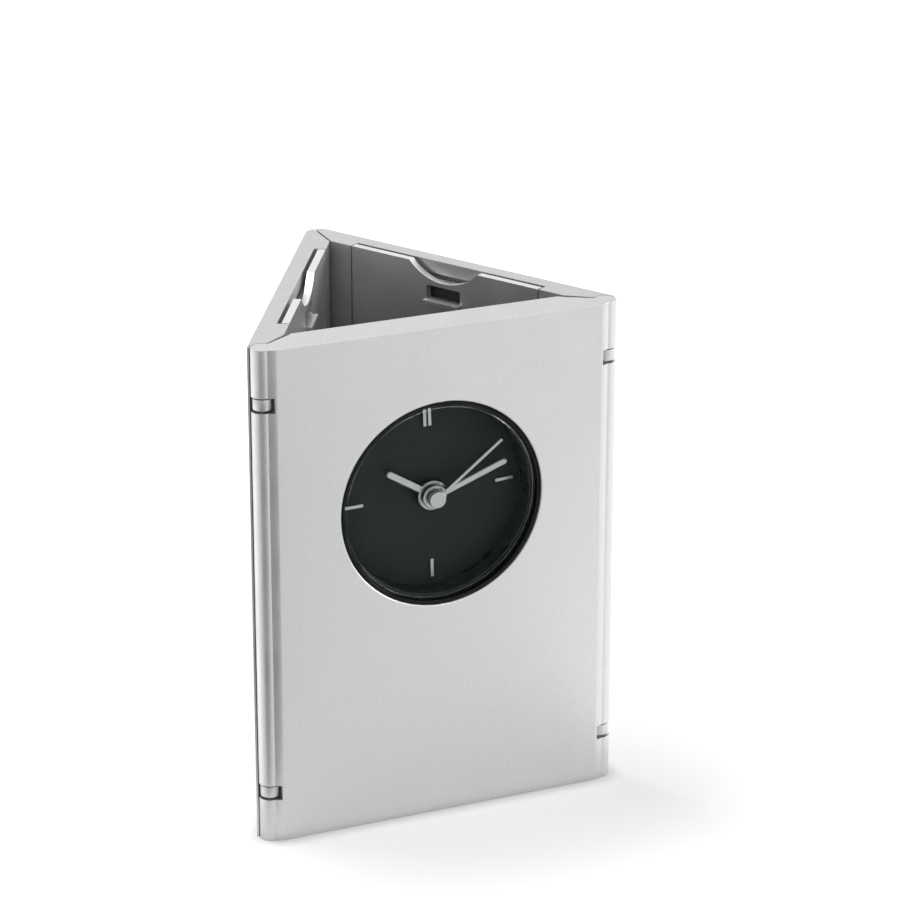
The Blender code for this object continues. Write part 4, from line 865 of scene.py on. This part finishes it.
def make_inner_cover(side, word):
    """The plate on the well side, with a thumb notch in its top edge and a finger catch below it."""
    cover = side_box(f"{word}_cover_plate", side, (TAB_LENGTH + CLEAR, POCKET_END - CLEAR),
                     (SLOT_END, SIDE_THICKNESS), (POCKET_FLOOR + CLEAR, HEIGHT))
    bow = ((THUMB_WIDTH / 2.0) ** 2 + THUMB_DEPTH ** 2) / (2.0 * THUMB_DEPTH)
    thumb = drawn_in_panel("thumb", side, circle(bow, 256, (POCKET_MIDDLE, HEIGHT + bow - THUMB_DEPTH)),
                           -SIDE_THICKNESS - PAST, SIDE_THICKNESS + PAST, UPRIGHT)
    half = CATCH_WIDTH / 2.0
    along = (POCKET_MIDDLE - half, POCKET_MIDDLE + half)
    catch_low = CATCH_TOP - CATCH_HEIGHT
    catch = side_box("catch", side, along, (SLOT_DEPTH, SIDE_THICKNESS + PAST), (catch_low, CATCH_TOP),
                     CATCH_CORNER)
    ledge = side_box("ledge", side, along, ((SLOT_END + SIDE_THICKNESS) / 2.0, SIDE_THICKNESS + LEDGE_REACH),
                     (catch_low - LEDGE_HEIGHT, catch_low))
    cut(cover, thumb, catch)
    join(cover, ledge)
    ease_edges(cover, COVER_EASE)
    dress(cover, side_silver, f"{word}_panel", "silver", f"{word}_inner_cover")
    # Upward faces get the paler lacquer: a painted highlight for light from above.
    second_finish(cover, painted_highlight_silver, lambda face: face.normal.z > FACES_UP)


for side, word in ((1, "left"), (-1, "right")):
    make_side_frame(side, word)
    make_inner_cover(side, word)

# %% [markdown]
# ## Clock case
# The case is one turned moulding: a thin lip that shows inside the opening, a flange that locates it
# behind the front wall, and a drum that holds the movement. Its profile is drawn as (radius, depth)
# corners, eased, and swept round. The wall of the chamber between the lens and the dial takes a paler,
# green finish, a painted reflection of the dial.

# %% Case profile
CASE_FRONT = 0.3 * MM
LIP_RADIUS = OPENING_RADIUS - 0.25 * MM
LIP_BORE = LIP_RADIUS - 0.5 * MM
FLANGE_RADIUS = CASE_BODY_RADIUS + FLANGE_REACH
FLANGE_FRONT = FRONT_WALL + CLEAR
FLANGE_END = FLANGE_FRONT + 1.2 * MM
LENS_FRONT = 0.45 * MM
LENS_BACK = LENS_FRONT + 1.2 * MM
LENS_SEAT = LENS_BACK + CLEAR
CHAMBER_RADIUS = CASE_BODY_RADIUS - 2.6 * MM
DIAL_FACE, DIAL_BACK = depths_of("dial_plate")
CASE_END = depths_of("clock_case")[1]
REAR_BORE = CASE_BODY_RADIUS - 1.3 * MM


def polar(face):
    """A face's distance from the clock's axis, and its depth behind the front face."""
    right, depth, up = face.center - Vector(CLOCK)
    return math.hypot(right, up), depth


def in_chamber(face):
    """Whether a face belongs to the wall between the lens and the dial."""
    radius, depth = polar(face)
    return LENS_SEAT < depth < DIAL_BACK and radius < CHAMBER_RADIUS + RUNNING


case_profile = [(LIP_RADIUS, CASE_FRONT), (LIP_RADIUS, FLANGE_FRONT), (FLANGE_RADIUS, FLANGE_FRONT),
                (FLANGE_RADIUS, FLANGE_END), (CASE_BODY_RADIUS, FLANGE_END), (CASE_BODY_RADIUS, CASE_END),
                (REAR_BORE, CASE_END), (REAR_BORE, DIAL_BACK), (CHAMBER_RADIUS, DIAL_BACK),
                (CHAMBER_RADIUS, LENS_SEAT), (LIP_BORE, LENS_SEAT), (LIP_BORE, CASE_FRONT)]
case_easing = np.array([0.14, 0.05, 0.2, 0.2, 0.05, 0.3, 0.3, 0.05, 0.1, 0.25, 0.02, 0.14]) * MM
case = turned("clock_drum", eased(case_profile, case_easing), steps=2 * TURN_STEPS)
flatten(case)
dress(case, gloss_black, "front_panel", "black", "clock_case")
# The chamber wall gets the painted reflection of the dial.
second_finish(case, smoked_wall, in_chamber)

# %% [markdown]
# ## Lens and dial
# The lens is a flat disc with a bevelled and polished rim. Its rim is what draws the thin bright lines
# round the dial. The dial is a thin disc with a hole for the pipes, and its five marks are raised bars.

# %% Lens, dial and marks
LENS_RADIUS = LIP_BORE - CLEAR
LENS_BEVEL = 0.25 * MM
LENS_RIM = LENS_RADIUS - 1.05 * LENS_BEVEL
DIAL_RADIUS = CHAMBER_RADIUS - CLEAR
DIAL_EDGE = CHAMBER_RADIUS - 0.04 * MM
DIAL_BORE = 2.2 * MM
DIAL_TWIST = math.radians(-1.8)
MARK_RADIUS = DIAL_RADIUS - 3.13 * MM
MARK_LENGTH = 3.7 * MM
MARK_WIDTH = 0.65 * MM
MARK_CORNER = 0.06 * MM
MARK_PITCH = 1.0 * MM

lens = turned("lens_disc", eased([(0.0, LENS_FRONT), (LENS_RADIUS - LENS_BEVEL, LENS_FRONT),
                                  (LENS_RADIUS, LENS_FRONT + LENS_BEVEL), (LENS_RADIUS, LENS_BACK),
                                  (0.0, LENS_BACK)], (0.0, 0.13 * MM, 0.13 * MM, 0.14 * MM, 0.0)))
flatten(lens)
dress(lens, clear_acrylic, "front_panel", "clear", "clock_lens")
second_finish(lens, polished_rim, lambda face: polar(face)[0] > LENS_RIM)

dial = turned("dial_disc", eased([(DIAL_BORE, DIAL_FACE), (DIAL_EDGE, DIAL_FACE), (DIAL_EDGE, DIAL_BACK),
                                  (DIAL_BORE, DIAL_BACK)], 0.02 * MM))
flatten(dial)
dress(dial, dial_black, "front_panel", "dial", "dial_plate")


def turned_face(points, angle):
    """Points drawn for a part that points up the dial, turned clockwise by an angle."""
    right, up, depth = np.asarray(points, float).T
    return clock_frame(np.column_stack([right * math.cos(angle) + up * math.sin(angle),
                                        up * math.cos(angle) - right * math.sin(angle), depth]))


def make_mark(name, share, aside):
    """One raised bar mark, at a share of a turn clockwise from the top."""
    half = MARK_WIDTH / 2.0
    bar = eased(rectangle(aside - half, aside + half, MARK_RADIUS - MARK_LENGTH / 2.0,
                          MARK_RADIUS + MARK_LENGTH / 2.0), MARK_CORNER)
    piece = drawn(f"bar_{name}", bar, *depths_of(name),
                  lambda points: turned_face(points, share * math.tau + DIAL_TWIST))
    ease_edges(piece, METAL_EASE, 2)
    return dress(piece, bright, "front_panel", "bright", name)


make_mark("mark_12_left", 0.0, -MARK_PITCH / 2.0)
make_mark("mark_12_right", 0.0, MARK_PITCH / 2.0)
for quarter in (1, 2, 3):
    make_mark(f"mark_{3 * quarter}", quarter / 4.0, 0.0)

# %% [markdown]
# ## Hands
# The hour and minute hands are stamped strips with a round hub, and stamping leaves their long edges
# sloped, which is why one edge of each hand shines. So a hand is a loft of its outline between three
# levels: full width at the back, full width at the foot of the slope, and drawn in at the front.

# %% Hour and minute hands
HAND_SLOPE = 0.16 * MM
HOUR_SIZE = (11.1 * MM, 1.35 * MM, 3.0 * MM)
MINUTE_SIZE = (15.85 * MM, 1.20 * MM, 2.4 * MM)
HOUR_ANGLE = math.radians(302.0)
MINUTE_ANGLE = math.radians(70.0)
SECOND_ANGLE = math.radians(52.5)
PIPE_GAP = 0.25 * MM
PIPE_WALL = 0.4 * MM
ARBOR_RADIUS = 0.45 * MM


def hand_plan(length, width, hub, inset=0.0):
    """A bar with a round tip on a round hub, drawn in by the inset all round."""
    half = width / 2.0 - inset
    hub = hub - inset
    root = math.asin(half / hub)
    tip = arc(half, math.pi, 0.0, 16, (0.0, length - inset - half))
    return np.concatenate([arc(hub, math.pi / 2.0 - root, root - 1.5 * math.pi, 96), tip])


def make_hand(node, size, bore, angle):
    """A hand with sloped edges, bored for its pipe. Its size is its length, width and hub radius."""
    front, back = depths_of(node)
    rings = []
    for depth, inset in ((back, 0.0), (front + HAND_SLOPE, 0.0), (front, HAND_SLOPE)):
        outline = hand_plan(*size, inset)
        rings.append(np.column_stack([outline, np.full(len(outline), depth)]))
    count = len(outline)
    faces = list(grid_faces(3, count, False, True)) + [np.arange(count), np.arange(count) + 2 * count]
    piece = make_piece(f"{node}_strip", turned_face(np.concatenate(rings), angle), faces)
    cut(piece, drawn("bore", circle(bore, 48), front - PAST, back + PAST, clock_frame))
    piece.data.set_sharp_from_angle(angle=math.radians(30.0))
    return dress(piece, bright, node, "bright", node)


minute_bore = ARBOR_RADIUS + PIPE_GAP + PIPE_WALL + RUNNING
hour_bore = minute_bore + PIPE_GAP + PIPE_WALL
make_hand("hour_hand", HOUR_SIZE, hour_bore, HOUR_ANGLE)
make_hand("minute_hand", MINUTE_SIZE, minute_bore, MINUTE_ANGLE)

# %% [markdown]
# The second hand is a needle pressed on a round cap. The cap is turned with an eased rim, and its bright
# ring of light comes from that rim alone.

# %% Second hand
CAP_RADIUS = 1.7 * MM
CAP_RIM = 0.22 * MM
NEEDLE_WIDTH = 0.6 * MM
NEEDLE_LENGTH = 16.9 * MM
NEEDLE_SETBACK = 0.4 * MM
NEEDLE_THICKNESS = 0.25 * MM
NEEDLE_CORNER = 0.1 * MM
cap_front, cap_back = depths_of("second_hand")
cap_middle = (cap_front + cap_back) / 2.0
second = turned("second_hand_cap",
                eased([(0.0, cap_front), (CAP_RADIUS, cap_front), (CAP_RADIUS, cap_back),
                       (ARBOR_RADIUS + RUNNING, cap_back), (ARBOR_RADIUS + RUNNING, cap_middle),
                       (0.0, cap_middle)], (0.0, CAP_RIM, 0.08 * MM, 0.05 * MM, 0.05 * MM, 0.0)), steps=96)
half = NEEDLE_WIDTH / 2.0
needle = drawn("needle", eased(rectangle(-half, half, CAP_RADIUS / 2.0, NEEDLE_LENGTH), NEEDLE_CORNER),
               cap_front + NEEDLE_SETBACK, cap_front + NEEDLE_SETBACK + NEEDLE_THICKNESS,
               lambda points: turned_face(points, SECOND_ANGLE))
ease_edges(needle, METAL_EASE, 2)
join(second, needle)
second.data.set_sharp_from_angle(angle=math.radians(40.0))
dress(second, bright, "second_hand", "bright", "second_hand")

# %% [markdown]
# ## Movement from behind
# From the well side the clock ends in the round back of its movement, with a knurled knob that sets the
# hands and a coin-slotted cover over the button cell. These are matt black mouldings.

# %% Movement housing
HOUSING_WALL = 1.0 * MM
HOUSING_RADIUS = radius_of("movement_housing")
HOUSING_FRONT, HOUSING_END = depths_of("movement_housing")
HOUSING_FLOOR = HOUSING_END - HOUSING_WALL
CELL_COVER_RADIUS = radius_of("battery_cover")

housing = turned("movement_back", eased(
    [(HOUSING_RADIUS - HOUSING_WALL, HOUSING_FRONT), (HOUSING_RADIUS, HOUSING_FRONT),
     (HOUSING_RADIUS, HOUSING_END), (0.0, HOUSING_END), (0.0, HOUSING_FLOOR),
     (HOUSING_RADIUS - HOUSING_WALL, HOUSING_FLOOR)],
    (0.1 * MM, 0.1 * MM, 0.6 * MM, 0.0, 0.0, 0.4 * MM)))
cell_spot = middle_of("battery_cover")
rounds = [circle(ARBOR_RADIUS + RUNNING, 24, axis_of(f"{wheel}_turn"))
          for wheel in ("second_hand", "third_wheel", "intermediate_wheel", "rotor", "minute_wheel")]
rounds.append(circle(CELL_COVER_RADIUS + CLEAR, 96, cell_spot))
openings = [drawn("way_through", outline, HOUSING_FLOOR - PAST, HOUSING_END + PAST, clock_frame)
            for outline in rounds]
cut(plain_flats(housing), *openings)
ease_edges(housing, PLATE_EASE, 2)
dress(housing, case_black, "front_panel", "black", "movement_housing")

# %% [markdown]
# The knob's ribs are a wave on its radius: the knob's own radius, less a share that follows the cosine of
# 18 times the angle round it. A shallow dish in its end keeps a fingertip centred.

# %% Setting knob
KNOB_RIBS = 18
KNOB_RIB_SHARE = 0.08
KNOB_RIB_STEPS = 8
KNOB_DISH_DEPTH = 0.3 * MM
KNOB_DISH_FLOOR = 1.9 * MM
KNOB_DISH_RIM = 2.2 * MM
KNOB_END_WALL = 0.6 * MM
KNOB_RADIUS = radius_of("setting_knob")
knob_front, knob_end = depths_of("setting_knob")
knob_spot = axis_of("minute_wheel_turn")
rib_angle = np.arange(KNOB_RIBS * KNOB_RIB_STEPS) * math.tau / (KNOB_RIBS * KNOB_RIB_STEPS)
rib_radius = KNOB_RADIUS * (1.0 - KNOB_RIB_SHARE * (0.5 - 0.5 * np.cos(KNOB_RIBS * rib_angle)))
knob_plan = np.column_stack([knob_spot[0] + rib_radius * np.cos(rib_angle),
                             knob_spot[1] + rib_radius * np.sin(rib_angle)])
knob = drawn("knurled_knob", knob_plan, knob_front, knob_end, clock_frame)
dish_floor = knob_end - KNOB_DISH_DEPTH
knob_dish = turned("dish", [(0.0, dish_floor), (KNOB_DISH_FLOOR, dish_floor),
                            (KNOB_DISH_RIM, knob_end + PAST), (0.0, knob_end + PAST)], knob_spot, 64)
knob_socket = drawn("socket", circle(ARBOR_RADIUS + RUNNING, 24, knob_spot), knob_front - PAST,
                    knob_end - KNOB_END_WALL, clock_frame)
cut(knob, knob_dish, knob_socket)
ease_edges(knob, PLATE_EASE)
dress(knob, case_black, "minute_wheel", "black", "setting_knob")

# %% [markdown]
# The cell cover is a turned disc that a coin twists open. Its slot is cut half through, as wide as a small
# coin's rim, and rounded at the ends.

# %% Cell cover with its coin slot
COIN_WIDTH = 1.2 * MM
COIN_LENGTH = 7.54 * MM
COIN_CORNER = 0.5 * MM
LID_EASE = 0.08 * MM
lid_front, lid_end = depths_of("battery_cover")
lid_profile = eased([(0.0, lid_front), (CELL_COVER_RADIUS, lid_front), (CELL_COVER_RADIUS, lid_end),
                     (0.0, lid_end)], (0.0, 0.1 * MM, 0.2 * MM, 0.0))
lid = turned("cell_lid", lid_profile, cell_spot, 96)
coin = eased(rectangle(cell_spot[0] - COIN_LENGTH / 2.0, cell_spot[0] + COIN_LENGTH / 2.0,
                       cell_spot[1] - COIN_WIDTH / 2.0, cell_spot[1] + COIN_WIDTH / 2.0), COIN_CORNER)
cut(plain_flats(lid), drawn("coin", coin, (lid_front + lid_end) / 2.0, lid_end + PAST, clock_frame))
ease_edges(lid, LID_EASE, 2)
dress(lid, case_black, "battery_cover", "black", "battery_cover")

# %% [markdown]
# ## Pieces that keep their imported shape
# The pins, magnets, window sheets, cards and everything inside the movement already have the right shape.
# They only take a finish, chosen by the material slot that the record gives them.

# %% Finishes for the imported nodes
finish_of = {"silver": silver, "steel": steel, "bright": bright, "brass": brass, "copper": copper,
             "black": case_black, "dial": dial_black, "nylon": nylon, "rubber": rubber, "board": laminate,
             "card": card_stock, "clear": clear_acrylic}
for part in frame["record"]["subparts"]:
    node = frame["nodes"][part["node"]]
    for material_slot in node.material_slots:
        material_slot.material = finish_of[part["material_slot"]]

# %% [markdown]
# ## Studio
# The camera stands where the photograph was taken from. Its place and lens length come from fitting the
# model's panel edges and its dial circle to where they are in the picture.

# %% Camera at the photograph's place
CAMERA_PLACE = (-0.245889, -0.607456, 0.316782)
VIEW_AZIMUTH = math.radians(-23.2973)
VIEW_ELEVATION = math.radians(21.1106)
SENSOR = 36.0
LENS_LENGTH = 142.27
NEAREST = 0.01

camera_data = bpy.data.cameras.new("camera")
camera_data.lens = LENS_LENGTH
camera_data.sensor_width = SENSOR
camera_data.sensor_fit = "HORIZONTAL"
camera_data.clip_start = NEAREST
camera = bpy.data.objects.new("camera", camera_data)
camera.location = CAMERA_PLACE
camera.rotation_euler = (math.pi / 2.0 - VIEW_ELEVATION, 0.0, VIEW_AZIMUTH)
bpy.context.scene.collection.objects.link(camera)
bpy.context.scene.camera = camera

# %% [markdown]
# The object stands on a white sweep. The floor is a real surface, so it takes the soft contact shadow, but
# to the camera and to mirrors it is lifted towards paper white by a glow of its own. The glow depends on
# who looks, so it doesn't light the object too. It is weaker close to the object, which paints a pool of
# shade round it, and Ambient Occlusion dims it close under a piece, a painted contact shadow that keeps
# the thin dark line where the panels stand.

# %% Floor finish
FLOOR_GREY = (0.50, 0.50, 0.50, 1.0)
UNDER_PIECES = 3.5 * MM


def bare_finish(name):
    """A new material with nothing but its output."""
    finish = bpy.data.materials.new(name)
    finish.use_nodes = True
    tree = finish.node_tree
    tree.nodes.clear()
    return finish, tree, tree.nodes.new("ShaderNodeOutputMaterial").inputs["Surface"]


def flat_sheet(name, places, finish):
    """One flat face of the studio, which isn't part of the object."""
    sheet = bpy.data.objects.new(name, bpy.data.meshes.new(name))
    sheet.data.from_pydata(places, [], [tuple(range(len(places)))])
    sheet.data.materials.append(finish)
    bpy.context.scene.collection.objects.link(sheet)
    return sheet


def worked(tree, operation, *values):
    """The output of a Math node, whose inputs are numbers or other nodes' outputs."""
    node = tree.nodes.new("ShaderNodeMath")
    node.operation = operation
    for socket, value in zip(node.inputs, values):
        if isinstance(value, float):
            socket.default_value = value
        else:
            tree.links.new(value, socket)
    return node.outputs[0]


def make_floor_finish(camera_glow, mirror_glow, near, far):
    """Grey paper that adds a glow of its own, depending on who looks.

    Seen straight or through clear plastic, the glow rises from camera_glow to 1 between two distances
    from the object, so it paints shade near the object. Seen in a mirror, it is mirror_glow. Close under a
    piece it dies out, which paints a contact shadow.
    """
    finish, tree, surface = bare_finish("white_sweep")
    paper = tree.nodes.new("ShaderNodeBsdfDiffuse")
    paper.inputs["Color"].default_value = FLOOR_GREY
    shade = tree.nodes.new("ShaderNodeAmbientOcclusion")
    shade.inputs["Distance"].default_value = UNDER_PIECES
    place = tree.nodes.new("ShaderNodeTexCoord")
    away = tree.nodes.new("ShaderNodeVectorMath")
    away.operation = "LENGTH"
    tree.links.new(place.outputs["Object"], away.inputs[0])
    ramp = tree.nodes.new("ShaderNodeMapRange")
    ramp.interpolation_type = "SMOOTHSTEP"
    fade = ranged(tree, ramp, away.outputs["Value"], (near, far), (camera_glow, 1.0))
    rays = tree.nodes.new("ShaderNodeLightPath").outputs
    straight = worked(tree, "MAXIMUM", rays["Is Camera Ray"], rays["Is Transmission Ray"])
    only_glossy = worked(tree, "GREATER_THAN", rays["Is Glossy Ray"], straight)
    mirrored = worked(tree, "MULTIPLY", only_glossy, mirror_glow)
    glow = tree.nodes.new("ShaderNodeEmission")
    tree.links.new(shade.outputs["Color"], glow.inputs["Color"])
    tree.links.new(worked(tree, "MULTIPLY_ADD", straight, fade, mirrored), glow.inputs["Strength"])
    both = tree.nodes.new("ShaderNodeAddShader")
    tree.links.new(paper.outputs[0], both.inputs[0])
    tree.links.new(glow.outputs[0], both.inputs[1])
    tree.links.new(both.outputs[0], surface)
    return finish


# %% Floor
FLOOR_HALF = 3.0
sweep = make_floor_finish(camera_glow=0.64, mirror_glow=0.81, near=0.05, far=0.14)
floor_plan = rectangle(-FLOOR_HALF, FLOOR_HALF, -FLOOR_HALF, FLOOR_HALF)
flat_sheet("floor", [(x, y, 0.0) for x, y in floor_plan], sweep)

# %% [markdown]
# The room is white to the camera and to mirrors, and much dimmer as a light, so that the lamps can model
# the forms. Its strength is worked out from the kind of ray: 1 for what is seen, ROOM_LIGHT for the rest.

# %% Room
ROOM_LIGHT = 0.30
world = bpy.data.worlds.new("studio")
bpy.context.scene.world = world
world.use_nodes = True
tree = world.node_tree
background = tree.nodes["Background"]
background.inputs["Color"].default_value = (1.0, 1.0, 1.0, 1.0)
rays = tree.nodes.new("ShaderNodeLightPath").outputs
seen = worked(tree, "MAXIMUM", rays["Is Camera Ray"], rays["Is Glossy Ray"])
strength = worked(tree, "MULTIPLY_ADD", seen, 1.0 - ROOM_LIGHT, ROOM_LIGHT)
tree.links.new(strength, background.inputs["Strength"])

# %% [markdown]
# One soft lamp stands high behind the object, at the left. It gives the contact shadow and the pale top
# edges. A second one at the right lights nothing but shows as a soft highlight in the finish. Neither is
# seen through clear plastic.

# %% Lamps
def softbox(name, place, target, size, power):
    """A rectangular soft lamp at a place, facing a target."""
    data = bpy.data.lights.new(name, "AREA")
    data.shape = "RECTANGLE"
    data.size, data.size_y = size
    data.energy = power
    lamp = bpy.data.objects.new(name, data)
    lamp.location = place
    away = np.subtract(target, place)
    flat = math.hypot(away[0], away[1])
    lamp.rotation_euler = (math.atan2(flat, -away[2]), 0.0, math.atan2(away[1], away[0]) - math.pi / 2.0)
    lamp.visible_transmission = False
    bpy.context.scene.collection.objects.link(lamp)
    return lamp


OBJECT_MIDDLE = (0.0, 0.0, HEIGHT / 2.0)
softbox("lamp_above", (-0.22, 0.24, 0.95), OBJECT_MIDDLE, size=(0.35, 0.35), power=5.5)
lamp_right = softbox("lamp_right", (0.75, -0.25, 0.27), OBJECT_MIDDLE, size=(0.28, 0.22), power=5.0)
lamp_right.visible_diffuse = False

# %% [markdown]
# Satin lacquer shows mostly what it mirrors, so the room matters more than the lamps. A few flat cards lie
# on the floor or hang in the room, as in a photo studio: bright ones draw the long highlights on the beads
# and the cove, and dark ones give the front its fall of tone. Only glossy rays see them.

# %% Cards that only the finish sees
JUST_OVER_FLOOR = 0.4 * MM


def mirror_card(name, corners, strength):
    """A flat card, seen by glossy rays only. Corners without a height lie just over the floor."""
    finish, tree, surface = bare_finish(name)
    glow = tree.nodes.new("ShaderNodeEmission")
    glow.inputs["Strength"].default_value = strength
    tree.links.new(glow.outputs[0], surface)
    places = [corner if len(corner) == 3 else (*corner, JUST_OVER_FLOOR) for corner in corners]
    card = flat_sheet(name, places, finish)
    card.visible_camera = False
    card.visible_diffuse = False
    card.visible_shadow = False
    card.visible_transmission = False


mirror_card("dark_card", [(-0.045, -0.042), (0.050, -0.43), (-0.35, -0.50), (-0.40, -0.24)], 0.28)
mirror_card("light_card", [(-0.050, -0.030), (-0.45, 0.02), (-0.40, 0.40), (-0.11, 0.40)], 2.0)
mirror_card("right_card", [(0.043, -0.046), (0.05, -0.10), (0.10, -0.17),
                           (0.42, -0.30), (0.42, 0.20), (0.08, 0.05)], 1.6)
mirror_card("front_card", [(0.02, -0.70, 0.18), (0.50, -0.48, 0.18),
                           (0.42, -0.38, 0.65), (0.02, -0.55, 0.65)], 3.2)
mirror_card("left_flag", [(-0.55, -0.15, 0.20), (-0.20, -0.55, 0.20),
                          (-0.20, -0.50, 0.60), (-0.50, -0.15, 0.60)], 0.1)

# %% [markdown]
# The colours are shown as they are written, with no film curve over them.

# %% View
bpy.context.scene.view_settings.view_transform = "Standard"
